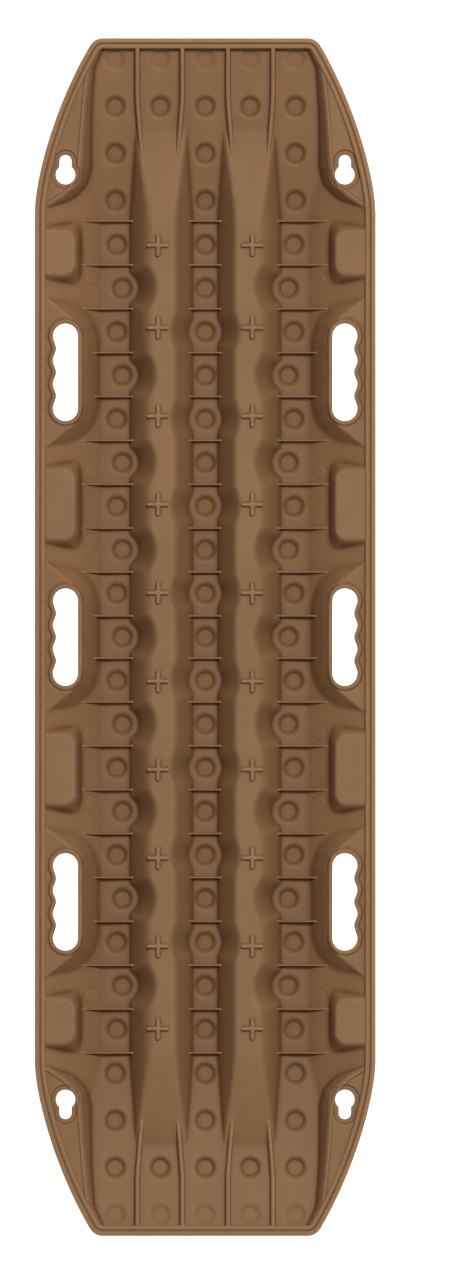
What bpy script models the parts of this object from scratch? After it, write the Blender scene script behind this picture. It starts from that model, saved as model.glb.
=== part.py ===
"""Vehicle recovery and traction board, lying teeth down with its hollow back up.

The board is one nylon moulding. It is drawn here as the named sections it is designed in:
three tread decks, two hat-section channels, two end ramps, handle and pad panels along the
sides, keyhole corners, the edge rails and the cross cleats. +X is right, +Y the length, +Z up,
and the origin is under the middle of the board, on the plane of the tooth tips.
"""

import math

import bmesh
import bpy
from mathutils import Vector

MM = 0.001

# Overall sizes
LENGTH = 1150 * MM
WIDTH = 327.4 * MM
END_WIDTH = 200 * MM  # straight part of each end edge
DECK_DEPTH = 34 * MM  # rim plane down to the tread decks
TOOTH_HEIGHT = 16 * MM
SKIN = 4 * MM
GAP = 0.3 * MM  # left between neighbouring sections

# Cross-section, from the centreline outwards
CENTRE_DECK_WIDTH = 23.4 * MM
CHANNEL_WIDTH = 61.1 * MM
CHANNEL_WALL_RUN = 16.9 * MM  # how far a channel wall leans over its height
CHANNEL_EDGE = 4 * MM  # chamfer drop at the channel's shoulders
SIDE_WIDTH = 54.2 * MM  # sloping side zone, from the outer deck to the rail
SIDE_EDGE_DROP = 5.4 * MM  # side zone's outer edge, below the rim plane
RAIL_WIDTH = 10.3 * MM
RAIL_DROP = 16 * MM
END_RAIL_WIDTH = 192 * MM

# Layout along the length
CORNER_LENGTH = 170 * MM  # end ramp and keyhole corner, from the end
TAPER_LEAN = math.radians(30.4)  # of the corner's taper where it meets the end, from the length
TAPER_SIDE_PULL = 36.6 * MM  # how far the taper's curve follows the side, then the lean
TAPER_END_PULL = 67.3 * MM
TAPER_STEPS = 9
END_CORNER = ((9.6, 5.2), (6, 1.6), (0, 0))  # mm past END_WIDTH and in from the end
INNER_PAD_SHARE = 0.573  # how the two pads of each half share what the handles leave
PAD_MARGIN = 13.2 * MM

# Teeth and the pits behind them
ROW_PITCH = 41.92 * MM
END_ROW_FIRST = 20.1 * MM  # last row of teeth, from the end
END_ROW_PITCH = 45.1 * MM
END_ROWS = 4
TOOTH_BASE_RADIUS = 12 * MM
TOOTH_TIP_RADIUS = 6.5 * MM
PIT_MOUTH_RADIUS = 11 * MM
PIT_FLOOR_RADIUS = 7.6 * MM
PIT_DEPTH = 7 * MM
LAST_PIT_DEPTH = 1.5 * MM
LAST_TOOTH_HEIGHT = 8 * MM
PLAIN_TOOTH_INSET = 12.3 * MM  # outer teeth, from the deck's inner edge
LOBED_TOOTH_INSET = 7 * MM
RAMP_TOOTH_INSET = 13.7 * MM
RAMP_MIDDLE_OFFSET = 0.9 * MM  # teeth between the ribs, off the channel's centreline
CENTRE_LOBE_RADIUS = 16 * MM
OUTER_LOBE_RADIUS = 15.5 * MM
TOOTH_SIDES = 8
LOBE_SIDES = 16

# Gussets, end ribs and cleats
GUSSET_FIRST = 20.3 * MM
GUSSET_PITCH = 42.17 * MM
GUSSET_HEIGHT = 10 * MM
GUSSET_THICKNESS = 1.6 * MM
GUSSET_END_GAP = 1 * MM  # short of a handle's or pad's wall, which bulges a little
RIB_HEIGHT = 10 * MM
RIB_THICKNESS = 3.2 * MM
RIB_STRAIGHT = 48 * MM
RIB_LENGTH = 103 * MM
RIB_LEAN = 4.5 * MM
INNER_RIB_X = 21.9 * MM
OUTER_RIB_X = 65.1 * MM
CHANNEL_RAMP_LENGTH = 83 * MM
CLEAT_FIRST = 42.4 * MM
CLEAT_PITCH = 84.8 * MM
CLEAT_ARM = 20.9 * MM
CLEAT_THICKNESS = 2 * MM
CLEAT_HEIGHT = 4 * MM
CLEAT_END_SPACE = 29 * MM
CLEAT_OFFSET = 3 * MM  # off the channel's centreline, outwards

# Handles, pads and keyholes
HANDLE_LENGTH = 93.6 * MM
HANDLE_WIDTH = 24.1 * MM
HANDLE_SIDE = 17.5 * MM  # hole's outer side, from the board's edge
HANDLE_MARGIN = 32.2 * MM  # handle panel's end, past the hole's
WAVE_DEPTH = 2.3 * MM
WAVE_PITCH = 22.7 * MM
LIP_WIDTH = 3.2 * MM
LIP_HEIGHT = 1.5 * MM
FLANGE_STEP = 2 * MM  # handle and corner flanges, below the rim plane
PAD_STEP = 1 * MM
PAD_WIDTH = 28.4 * MM
PAD_CORNER = 8 * MM
PAD_WALL_RUN = 8.3 * MM
PAD_END_RUN = 14 * MM
KEYHOLE_SIDE = 29.6 * MM  # keyhole's axis, from the board's edge
KEYHOLE_END = 131 * MM  # middle of the wide circle, from the board's end
KEYHOLE_RADIUS = 9.4 * MM
KEYHOLE_NECK_RADIUS = 5.9 * MM
KEYHOLE_STEP = 13 * MM
COUNTERBORE_WALL = 5 * MM
COUNTERBORE_DEPTH = 1.5 * MM

# Raised blocks' outlines, in mm: the edge of the level top, and the foot of the wall under it.
# A handle's points are (in from the rail, past the hole's end) and a corner's are
# (in from the rail, in from the board's end), where a negative number lies beyond.
HANDLE_EDGE = ((0, 25.2), (9.7, 17.5), (23.4, 6.2), (32.4, -3.8), (35.4, -16.8))
HANDLE_FOOT = ((0, 63.2), (32.5, 45.2), (39.8, 25.2), (48.5, 7.6), (52.3, -13.8))
CORNER_EDGE = (
    (-40, -40), (62, -40), (52.8, 11), (43.1, 28), (38.1, 70), (34.4, 123), (25.9, 144),
    (6.4, 159), (-40, 166),
)
CORNER_FOOT = (
    (-40, -40), (80, -40), (66, 11), (60, 28), (55.5, 70), (52, 128), (46, 152),
    (29.7, 179), (-40, 200),
)

# Derived places
HALF_LENGTH = LENGTH / 2
HALF_WIDTH = WIDTH / 2
DECK_UNDER = TOOTH_HEIGHT
DECK_Z = TOOTH_HEIGHT + SKIN
RIM_Z = DECK_Z + DECK_DEPTH
FLANGE_Z = RIM_Z - FLANGE_STEP
PAD_Z = RIM_Z - PAD_STEP
RAIL_INNER = HALF_WIDTH - RAIL_WIDTH
SIDE_START = RAIL_INNER - SIDE_WIDTH
CHANNEL_IN = CENTRE_DECK_WIDTH / 2
CHANNEL_OUT = CHANNEL_IN + CHANNEL_WIDTH
FLAT_HALF = HALF_LENGTH - CORNER_LENGTH
WALL_LEAN = CHANNEL_WALL_RUN / DECK_DEPTH
SIDE_RISE = DECK_DEPTH - SIDE_EDGE_DROP
RAMP_RISE = DECK_DEPTH - RIB_HEIGHT  # the ribs' crests end level with the rim
SIDE_SLOPE = SIDE_RISE / SIDE_WIDTH
RAMP_LENGTH = CORNER_LENGTH - RAIL_WIDTH
RAMP_SLOPE = RAMP_RISE / RAMP_LENGTH
RAMP_HALF_WIDTH = SIDE_START + 4.8 * MM
HANDLE_PANEL = HANDLE_LENGTH + 2 * HANDLE_MARGIN
PAD_ROOM = FLAT_HALF - 1.5 * HANDLE_PANEL
HANDLE_Y = HANDLE_PANEL + PAD_ROOM * INNER_PAD_SHARE
ROW_COUNT = int((FLAT_HALF - TOOTH_BASE_RADIUS) / ROW_PITCH)
GUSSET_COUNT = 1 + int((FLAT_HALF - GUSSET_FIRST - GUSSET_THICKNESS) / GUSSET_PITCH)
CLEAT_COUNT = 1 + round((FLAT_HALF - CLEAT_END_SPACE - CLEAT_FIRST) / CLEAT_PITCH)
KEYHOLE_X = HALF_WIDTH - KEYHOLE_SIDE
KEYHOLE_Y = HALF_LENGTH - KEYHOLE_END
FLATNESS = math.radians(0.2)  # a face bent by more than this is split
BELOW = -20 * MM  # where cutters start, under everything
ABOVE = RIM_Z + 20 * MM

# Colours of the moulded nylon, one tone for each kind of section
TREAD_BROWN = (0.235, 0.130, 0.070)
CHANNEL_BROWN = (0.275, 0.162, 0.092)
PANEL_BROWN = (0.215, 0.120, 0.066)
RAIL_BROWN = (0.250, 0.145, 0.080)
CLEAT_BROWN = (0.290, 0.172, 0.100)


# ---------------------------------------------------------------- solids


def solid(name, mesh_data):
    """Makes a bmesh a mesh object, its faces flat and pointing out."""
    bmesh.ops.connect_verts_nonplanar(mesh_data, angle_limit=FLATNESS, faces=mesh_data.faces)
    bmesh.ops.recalc_face_normals(mesh_data, faces=mesh_data.faces)
    if mesh_data.calc_volume(signed=True) < 0:
        bmesh.ops.reverse_faces(mesh_data, faces=mesh_data.faces)
    mesh = bpy.data.meshes.new(name)
    mesh_data.to_mesh(mesh)
    mesh_data.free()
    obj = bpy.data.objects.new(name, mesh)
    bpy.context.scene.collection.objects.link(obj)
    return obj


def loft(name, rings):
    """A closed solid through rings of points that all have the same count."""
    bm = bmesh.new()
    rows = [[bm.verts.new(point) for point in ring] for ring in rings]
    count = len(rows[0])
    bm.faces.new(rows[0])
    bm.faces.new(rows[-1])
    for lower, upper in zip(rows, rows[1:]):
        for i in range(count):
            j = (i + 1) % count
            bm.faces.new((lower[i], lower[j], upper[j], upper[i]))
    return solid(name, bm)


def prism_z(name, outline, low, high):
    """An outline in X and Y, extruded upwards."""
    return loft(name, [[(x, y, z) for x, y in outline] for z in (low, high)])


def prism_y(name, outline, low, high):
    """An outline in X and Z, extruded along the length."""
    return loft(name, [[(x, y, z) for x, z in outline] for y in (low, high)])


def strip(name, left, right, low, high):
    """A slab between two edges whose points lie at the same lengths along the board."""
    pairs = zip(left, right)
    return loft(name, [[(*a, low), (*b, low), (*b, high), (*a, high)] for a, b in pairs])


def prism_x(name, outline, low, high):
    """An outline in Y and Z, extruded across the width."""
    return loft(name, [[(x, y, z) for y, z in outline] for x in (low, high)])


def box(name, x_range, y_range, z_range):
    (x0, x1), (y0, y1) = x_range, y_range
    return prism_z(name, [(x0, y0), (x1, y0), (x1, y1), (x0, y1)], *z_range)


def turned(name, x, y, profile, sides):
    """A round solid on an upright axis, its profile given as (radius, height) pairs."""
    turns = [2 * math.pi * (i + 0.5) / sides for i in range(sides)]
    rings = [[(x + r * math.cos(a), y + r * math.sin(a), z) for a in turns] for r, z in profile]
    return loft(name, rings)


def gather(name, objects):
    """Joins separate solids into one tool, without a Boolean."""
    bm = bmesh.new()
    for obj in objects:
        bm.from_mesh(obj.data)
        bpy.data.objects.remove(obj, do_unlink=True)
    mesh = bpy.data.meshes.new(name)
    bm.to_mesh(mesh)
    bm.free()
    obj = bpy.data.objects.new(name, mesh)
    bpy.context.scene.collection.objects.link(obj)
    return obj


def combine(base, operation, *tools):
    """The base with each tool joined to it, cut from it or intersected with it in turn."""
    for tool in tools:
        modifier = base.modifiers.new(operation.title(), "BOOLEAN")
        modifier.operation = operation
        modifier.solver = "EXACT"
        modifier.object = tool
    graph = bpy.context.evaluated_depsgraph_get()
    mesh = bpy.data.meshes.new_from_object(base.evaluated_get(graph))
    base.modifiers.clear()
    base.data = mesh
    for tool in tools:
        bpy.data.objects.remove(tool, do_unlink=True)
    return base


def join(base, *tools):
    return combine(base, "UNION", *tools)


def cut(base, *tools):
    return combine(base, "DIFFERENCE", *tools)


def limit(base, *tools):
    return combine(base, "INTERSECT", *tools)


def finish(obj, name, colour):
    """Names a finished section and gives it its own moulded-nylon material."""
    obj.name = name
    obj.data.name = name
    material = bpy.data.materials.new(name + "_nylon")
    material.use_nodes = True
    shader = material.node_tree.nodes["Principled BSDF"]
    shader.inputs["Base Color"].default_value = (*colour, 1)
    shader.inputs["Roughness"].default_value = 0.5
    shader.inputs["Metallic"].default_value = 0
    obj.data.materials.clear()
    obj.data.materials.append(material)
    return obj


def mirrored(obj, name, x_sign, y_sign, colour):
    """A copy of a section mirrored in X, in Y or in both, with its faces still out."""
    bm = bmesh.new()
    bm.from_mesh(obj.data)
    bmesh.ops.scale(bm, vec=(x_sign, y_sign, 1), verts=bm.verts)
    if x_sign * y_sign < 0:
        bmesh.ops.reverse_faces(bm, faces=bm.faces)
    mesh = bpy.data.meshes.new(name)
    bm.to_mesh(mesh)
    bm.free()
    copy = bpy.data.objects.new(name, mesh)
    bpy.context.scene.collection.objects.link(copy)
    return finish(copy, name, colour)


def four_corners(obj, stem, colour):
    """The section in all four quarters of the board, and the first one removed."""
    for side, x_sign in (("right", 1), ("left", -1)):
        for end, y_sign in (("front", 1), ("rear", -1)):
            mirrored(obj, f"{stem}_{side}_{end}", x_sign, y_sign, colour)
    bpy.data.objects.remove(obj, do_unlink=True)


# ---------------------------------------------------------------- outlines


def arc(x, y, radius, start, end, steps):
    """Points on a circle, from one angle to another, in degrees."""
    turns = [math.radians(start + (end - start) * i / steps) for i in range(steps + 1)]
    return [(x + radius * math.cos(a), y + radius * math.sin(a)) for a in turns]


def corner_edge():
    """The board's edge in one quarter: a Bezier taper from the straight side, then a corner."""
    start = Vector((HALF_WIDTH, FLAT_HALF))
    end, *last_points = [
        Vector((END_WIDTH / 2 + dx * MM, HALF_LENGTH - dy * MM)) for dx, dy in END_CORNER
    ]
    first = start + Vector((0, TAPER_SIDE_PULL))
    last = end + TAPER_END_PULL * Vector((math.sin(TAPER_LEAN), -math.cos(TAPER_LEAN)))
    points = []
    for i in range(TAPER_STEPS + 1):
        t = i / TAPER_STEPS
        s = 1 - t
        points.append(s**3 * start + 3 * s * s * t * first + 3 * s * t * t * last + t**3 * end)
    points += last_points
    points.append(Vector((END_RAIL_WIDTH / 2, HALF_LENGTH)))
    return points


def inwards(path, start_normal, end_normal):
    """The inward mitre direction at each point of a path that runs from side to end."""
    directions = [start_normal]
    for before, here, after in zip(path, path[1:], path[2:]):
        first = (here - before).normalized()
        second = (after - here).normalized()
        left = Vector((-first.y, first.x)) + Vector((-second.y, second.x))
        left.normalize()
        directions.append(left / left.dot(Vector((-first.y, first.x))))
    directions.append(end_normal)
    return directions


def inner_corner_edge(distance):
    """The quarter's edge moved inwards by a distance."""
    path = corner_edge()
    normals = inwards(path, Vector((-1, 0)), Vector((0, -1)))
    return [point + normal * distance for point, normal in zip(path, normals)]


def field():
    """Everything inside the rails, as one tall prism that trims the sections beside them."""
    quarter = [(p.x, p.y) for p in inner_corner_edge(RAIL_WIDTH + GAP)]
    outline = quarter + [(-x, y) for x, y in reversed(quarter)]
    outline += [(-x, -y) for x, y in quarter] + [(x, -y) for x, y in reversed(quarter)]
    return prism_z("field", outline, BELOW, ABOVE)


def inset(outline, distance):
    """A closed outline moved inwards by a distance, with mitred corners."""
    points = [Vector(p) for p in outline]
    area = sum(a.x * b.y - b.x * a.y for a, b in zip(points, points[1:] + points[:1]))
    turn = 1 if area > 0 else -1
    moved = []
    for i, here in enumerate(points):
        first = (here - points[i - 1]).normalized()
        second = (points[(i + 1) % len(points)] - here).normalized()
        normal = Vector((-first.y, first.x)) * turn
        bisector = normal + Vector((-second.y, second.x)) * turn
        bisector.normalize()
        moved.append(tuple(here + bisector * (distance / bisector.dot(normal))))
    return moved


# ---------------------------------------------------------------- tread decks


def row_places():
    """(row number, y) of each row of teeth on the flat decks."""
    return [(row, row * ROW_PITCH) for row in range(-ROW_COUNT, ROW_COUNT + 1)]


def lobed_rows(centre):
    """The y of each row where the deck bulges: odd rows in the middle, even rows outside."""
    return [y for row, y in row_places() if row % 2 == centre and abs(row) < ROW_COUNT]


def outer_tooth_x(row):
    lobed = row % 2 == 0 and abs(row) < ROW_COUNT
    return CHANNEL_OUT + (LOBED_TOOTH_INSET if lobed else PLAIN_TOOTH_INSET)


def outer_lobe_x():
    return CHANNEL_OUT + LOBED_TOOTH_INSET


def tooth(x, y, floor_z, height):
    """A conical tooth under a deck whose upper face is at floor_z."""
    under = floor_z - SKIN
    lean = (TOOTH_BASE_RADIUS - TOOTH_TIP_RADIUS) / TOOTH_HEIGHT
    profile = [
        (TOOTH_TIP_RADIUS, under - height),
        (TOOTH_TIP_RADIUS + lean * (height + SKIN / 4), under + SKIN / 4),
    ]
    return turned("tooth", x, y, profile, TOOTH_SIDES)


def pit(x, y, floor_z, depth):
    """The round hollow in the deck above a tooth."""
    lean = (PIT_MOUTH_RADIUS - PIT_FLOOR_RADIUS) / PIT_DEPTH
    over = 3 * MM
    profile = [
        (PIT_FLOOR_RADIUS, floor_z - depth),
        (PIT_FLOOR_RADIUS + lean * depth, floor_z),
        (PIT_FLOOR_RADIUS + lean * depth, floor_z + over),
    ]
    return turned("pit", x, y, profile, TOOTH_SIDES)


def lobe_profile(radius):
    """A deck lobe's clearance through a channel wall: upright past the deck, then flaring."""
    flare = radius + WALL_LEAN * (ABOVE - DECK_Z)
    return [(radius, BELOW), (radius, DECK_Z), (flare, ABOVE)]


def side_z(x):
    """Height of the sloping side zone's upper face."""
    return DECK_Z + SIDE_SLOPE * (x - SIDE_START)


def gusset_rows():
    steps = [GUSSET_FIRST + GUSSET_PITCH * i for i in range(GUSSET_COUNT)]
    return [-y for y in reversed(steps)] + steps


def gusset(outline, y):
    half = GUSSET_THICKNESS / 2
    return prism_y("gusset", outline, y - half, y + half)


def bulge(x, y, radius, edge, sign):
    """A lobe's points past a deck's straight edge, in order of y, from edge to edge."""
    turns = [2 * math.pi * (i + 0.5) / LOBE_SIDES for i in range(LOBE_SIDES)]
    ring = [(x + radius * math.cos(a), y + radius * math.sin(a)) for a in turns]
    points = [point for point in ring if (point[0] - edge) * sign > 0]
    for (x0, y0), (x1, y1) in zip(ring, ring[1:] + ring[:1]):
        if (x0 - edge) * (x1 - edge) < 0:
            points.append((edge, y0 + (y1 - y0) * (edge - x0) / (x1 - x0)))
    return sorted(points, key=lambda point: point[1])


def lobed_edge(x, radius, edge, sign, rows):
    """A deck's edge from rear to front, straight but for its lobes."""
    flat = FLAT_HALF - GAP / 2
    points = [(edge, -flat)]
    for y in rows:
        points += bulge(x, y, radius, edge, sign)
    return points + [(edge, flat)]


def gusset_outline(inner, outer):
    """A gusset's outline in X and Z: (foot, crest) x at each end, the foot sunk in the deck."""
    low = DECK_Z - SKIN / 2
    crest = DECK_Z + GUSSET_HEIGHT
    return [(inner[0], low), (outer[0], low), (outer[1], crest), (inner[1], crest)]


def centre_tread():
    half = CHANNEL_IN
    right = lobed_edge(0, CENTRE_LOBE_RADIUS, half, 1, lobed_rows(1))
    deck = strip("deck", [(-x, y) for x, y in right], right, DECK_UNDER, DECK_Z)
    foot = half - 1.5 * MM
    top = half + WALL_LEAN * GUSSET_HEIGHT
    shape = gusset_outline((-foot, -top), (foot, top))
    gussets = [gusset(shape, y) for y in gusset_rows()]
    teeth = [tooth(0, y, DECK_Z, TOOTH_HEIGHT) for _, y in row_places()]
    pits = [pit(0, y, DECK_Z, PIT_DEPTH) for _, y in row_places()]
    join(deck, gather("gussets", gussets), gather("teeth", teeth))
    cut(deck, gather("pits", pits))
    return finish(deck, "centre_tread", TREAD_BROWN)


def wall_x(outline, y):
    """The least x at which an outline crosses a line along X, or else the board's edge."""
    crossings = [HALF_WIDTH]
    for (x0, y0), (x1, y1) in zip(outline, outline[1:] + outline[:1]):
        if (y0 - y) * (y1 - y) < 0:
            crossings.append(x0 + (x1 - x0) * (y - y0) / (y1 - y0))
    return min(crossings)


def wall_limit(y, z):
    """How far out a gusset can reach, at a height, before a handle's or a pad's wall."""
    shapes = [(handle_outlines(middle), FLANGE_Z) for middle in (-HANDLE_Y, 0, HANDLE_Y)]
    shapes += [(pad_outlines(middle, half), PAD_Z) for middle, half in pad_places()]
    limits = []
    for (top, foot), crest in shapes:
        outline = level(top, foot, (z - DECK_Z) / (crest - DECK_Z), GUSSET_END_GAP)
        limits += [wall_x(outline, y + side * GUSSET_THICKNESS / 2) for side in (-1, 1)]
    return min(limits)


def outer_gusset_outline(y):
    """From the channel's wall to the side slope, or to a wall that stands on the slope."""
    lift = 1.4 * GAP
    crest = DECK_Z + GUSSET_HEIGHT
    foot_in = CHANNEL_OUT + 1.5 * MM
    foot_out = SIDE_START - (SKIN / 2 + lift) / SIDE_SLOPE
    top_in = CHANNEL_OUT - WALL_LEAN * GUSSET_HEIGHT
    top_out = SIDE_START + (GUSSET_HEIGHT - lift) / SIDE_SLOPE
    wall_low, wall_top = wall_limit(y, DECK_Z), wall_limit(y, crest)
    outline = gusset_outline((foot_in, top_in), (foot_out, min(top_out, wall_top)))
    if wall_top < top_out:
        lean = (wall_top - wall_low) / GUSSET_HEIGHT
        meet = wall_low + lean * (lift - SIDE_SLOPE * SIDE_START)
        meet /= 1 - lean * SIDE_SLOPE
        outline.insert(2, (meet, side_z(meet) + lift))
    return outline


def outer_tread():
    """The deck between the right channel and the side zone, with gussets onto the slope."""
    lobed = lobed_edge(outer_lobe_x(), OUTER_LOBE_RADIUS, CHANNEL_OUT, -1, lobed_rows(0))
    straight = [(SIDE_START, y) for _, y in lobed]
    deck = strip("deck", lobed, straight, DECK_UNDER, DECK_Z)
    gussets = [gusset(outer_gusset_outline(y), y) for y in gusset_rows()]
    rows = row_places()
    teeth = [tooth(outer_tooth_x(row), y, DECK_Z, TOOTH_HEIGHT) for row, y in rows]
    pits = [pit(outer_tooth_x(row), y, DECK_Z, PIT_DEPTH) for row, y in rows]
    join(deck, gather("gussets", gussets), gather("teeth", teeth))
    return cut(deck, gather("pits", pits))


# ---------------------------------------------------------------- channels


def channel_outline(bottom, shrink=0.0):
    """The hat section in X and Z, between the two decks, or its inside a skin smaller."""
    foot_in = CHANNEL_IN + GAP
    foot_out = CHANNEL_OUT - GAP
    edge_run = WALL_LEAN * (DECK_DEPTH - CHANNEL_EDGE)
    flat_run = CHANNEL_WALL_RUN + CHANNEL_EDGE * 0.75
    outline = [
        (foot_in, bottom),
        (foot_in, DECK_Z),
        (foot_in + edge_run, RIM_Z - CHANNEL_EDGE),
        (foot_in + flat_run, RIM_Z),
        (foot_out - flat_run, RIM_Z),
        (foot_out - edge_run, RIM_Z - CHANNEL_EDGE),
        (foot_out, DECK_Z),
        (foot_out, bottom),
    ]
    return inset(outline, shrink) if shrink else outline


def scallops(clearance):
    """Round cutters where the decks' lobes bite into both walls of the right channel."""
    inner = lobe_profile(CENTRE_LOBE_RADIUS + clearance)
    outer = lobe_profile(OUTER_LOBE_RADIUS + clearance)
    tools = [turned("scallop", 0, y, inner, LOBE_SIDES) for y in lobed_rows(1)]
    tools += [turned("scallop", outer_lobe_x(), y, outer, LOBE_SIDES) for y in lobed_rows(0)]
    return gather("scallops", tools)


def channel():
    flat = FLAT_HALF - GAP / 2
    shell = prism_y("channel", channel_outline(DECK_UNDER), -flat, flat)
    cut(shell, scallops(GAP))
    hollow = prism_y("hollow", channel_outline(BELOW, SKIN), -flat - GAP, flat + GAP)
    cut(hollow, scallops(GAP + SKIN * math.hypot(1, WALL_LEAN)))
    return cut(shell, hollow)


# ---------------------------------------------------------------- end ramps


def ramp_z(y):
    """Height of the end ramp's floor."""
    return DECK_Z + RAMP_SLOPE * (y - FLAT_HALF)


def ramp_base(x_range, drop):
    """Everything below the ramp's floor, or below a floor lowered by drop."""
    start = FLAT_HALF + GAP / 2 - drop
    end = HALF_LENGTH
    outline = [(start, BELOW - drop), (start, ramp_z(start) - drop)]
    outline += [(end, ramp_z(end) - drop), (end, BELOW - drop)]
    return prism_x("base", outline, *x_range)


def channel_ramp(shrink):
    """The right channel's run-out, from the full hat section down into the ramp's floor."""
    start = FLAT_HALF + GAP / 2
    end = FLAT_HALF + CHANNEL_RAMP_LENGTH
    sunk = ramp_z(end) - 0.5 * MM
    bottom = BELOW - shrink
    near = channel_outline(bottom, shrink)
    tip_in = INNER_RIB_X + RIB_LEAN
    tip_out = OUTER_RIB_X - RIB_LEAN
    step = 5 * MM
    far = [(tip_in, bottom), (tip_in, sunk - 3 * MM), (tip_in + step, sunk - 1 * MM)]
    far += [(tip_in + 2 * step, sunk), (tip_out - 2 * step, sunk)]
    far += [(tip_out - step, sunk - 1 * MM), (tip_out, sunk - 3 * MM), (tip_out, bottom)]
    if shrink:
        far = inset(far, shrink)
    lead = GAP if shrink else 0
    rings = [[(x, start - lead, z) for x, z in near], [(x, end, z) for x, z in far]]
    return loft("channel_ramp", rings)


def end_rib(x, lean):
    """A drafted rib from the end rail, straight and then leaning to its tip."""
    last = HALF_LENGTH - RAIL_WIDTH - GAP
    bend = HALF_LENGTH - RAIL_WIDTH - RIB_STRAIGHT
    tip = HALF_LENGTH - RAIL_WIDTH - RIB_LENGTH
    half = RIB_THICKNESS / 2
    stations = [(last, x, half), (bend, x, half), (tip, x + lean, half * 0.8)]

    def ring(spread, rise):
        sides = [[(cx + sign * (w + spread), y) for y, cx, w in stations] for sign in (-1, 1)]
        return [(px, py, ramp_z(py) + rise) for px, py in sides[0] + sides[1][::-1]]

    return loft("rib", [ring(1.5 * MM, -SKIN / 2), ring(0, RIB_HEIGHT)])


def ramp_teeth():
    """(x, y, tooth height, pit depth) of each tooth of one end ramp, all columns."""
    places = []
    middle = (CHANNEL_IN + CHANNEL_OUT) / 2 + RAMP_MIDDLE_OFFSET
    outer = CHANNEL_OUT + RAMP_TOOTH_INSET
    for row in range(END_ROWS):
        y = HALF_LENGTH - END_ROW_FIRST - END_ROW_PITCH * row
        share = 1 - row / (END_ROWS - 1)
        height = TOOTH_HEIGHT + (LAST_TOOTH_HEIGHT - TOOTH_HEIGHT) * share
        depth = PIT_DEPTH if row else LAST_PIT_DEPTH
        columns = [0, outer, -outer] + ([middle, -middle] if row < 2 else [])
        places += [(x, y, height, depth) for x in columns]
    return places


def end_ramp():
    width = (-RAMP_HALF_WIDTH, RAMP_HALF_WIDTH)
    wide = (-RAMP_HALF_WIDTH - SKIN, RAMP_HALF_WIDTH + SKIN)
    shell = ramp_base(width, 0)
    hollow = ramp_base(wide, SKIN)
    for side in (1, -1):
        run_out = channel_ramp(0)
        inside = channel_ramp(SKIN)
        turn_over(run_out, side)
        turn_over(inside, side)
        join(shell, run_out)
        join(hollow, inside)
    cut(shell, hollow)
    ribs = [end_rib(s * INNER_RIB_X, s * RIB_LEAN) for s in (1, -1)]
    ribs += [end_rib(s * OUTER_RIB_X, -s * RIB_LEAN) for s in (1, -1)]
    places = ramp_teeth()
    teeth = [tooth(x, y, ramp_z(y), height) for x, y, height, _ in places]
    pits = [pit(x, y, ramp_z(y), depth) for x, y, _, depth in places]
    join(shell, gather("ribs", ribs), gather("teeth", teeth))
    cut(shell, gather("pits", pits))
    return limit(shell, field())


def turn_over(obj, sign):
    """Mirrors a tool across the centreline when the sign is negative."""
    if sign > 0:
        return
    bm = bmesh.new()
    bm.from_mesh(obj.data)
    bmesh.ops.scale(bm, vec=(-1, 1, 1), verts=bm.verts)
    bmesh.ops.reverse_faces(bm, faces=bm.faces)
    bm.to_mesh(obj.data)
    bm.free()


# ---------------------------------------------------------------- side panels


def level(top, foot, share, grow):
    """A block's outline at a share of its height above the decks, grown outwards."""
    mixed = [(a + (c - a) * share, b + (d - b) * share) for (a, b), (c, d) in zip(foot, top)]
    return inset(mixed, -grow)


def block(top, foot, crest, grow, drop):
    """A raised block from its foot outline on the deck plane to its top outline."""
    lid = 1 - drop / (crest - DECK_Z)

    def ring(share):
        z = DECK_Z + (crest - DECK_Z) * share
        return [(x, y, z) for x, y in level(top, foot, share, grow)]

    lowest = [(x, y, BELOW - drop) for x, y, _ in ring(0)]
    return loft("block", [lowest, ring(0), ring(lid)])


def handle_outlines(y):
    """Top and foot outlines of the block round a handle."""
    outlines = []
    for points in (HANDLE_EDGE, HANDLE_FOOT):
        half = [(RAIL_INNER - dx * MM, HANDLE_LENGTH / 2 + dy * MM) for dx, dy in points]
        half.insert(0, (HALF_WIDTH, half[0][1]))
        outline = [(x, y + reach) for x, reach in half]
        outline += [(x, y - reach) for x, reach in reversed(half)]
        outlines.append(outline)
    return outlines


def handle_block(y, grow=0.0, drop=0.0):
    top, foot = handle_outlines(y)
    return block(top, foot, FLANGE_Z, grow, drop)


def pad_places():
    """(middle, half length of the plateau) of each pad along one side."""
    inner = PAD_ROOM * INNER_PAD_SHARE
    outer = PAD_ROOM - inner
    first = (HANDLE_PANEL + inner) / 2
    second = FLAT_HALF - outer / 2
    places = [(first, inner / 2 - PAD_MARGIN), (second, outer / 2 - PAD_MARGIN)]
    return places + [(-y, half) for y, half in places]


def pad_outlines(y, half):
    """Top and foot outlines of a pad's block."""
    beyond = HALF_WIDTH
    inner = RAIL_INNER - PAD_WIDTH
    outlines = []
    for run, end_run in ((0, 0), (PAD_WALL_RUN, PAD_END_RUN)):
        x = inner - run
        reach = half + end_run
        cut_off = PAD_CORNER * 0.5
        outline = [(beyond, y + reach), (x + PAD_CORNER, y + reach)]
        outline += [(x + cut_off / 2, y + reach - cut_off / 2), (x, y + reach - PAD_CORNER)]
        outline += [(a, 2 * y - b) for a, b in reversed(outline)]
        outlines.append(outline)
    return outlines


def pad_block(y, half, grow=0.0, drop=0.0):
    top, foot = pad_outlines(y, half)
    return block(top, foot, PAD_Z, grow, drop)


def corner_block(grow=0.0, drop=0.0):
    """The flange that carries a keyhole, between the ramp and the rails."""
    top, foot = (
        [(RAIL_INNER - dx * MM, HALF_LENGTH - dy * MM) for dx, dy in points]
        for points in (CORNER_EDGE, CORNER_FOOT)
    )
    return block(top, foot, FLANGE_Z, grow, drop)


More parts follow.
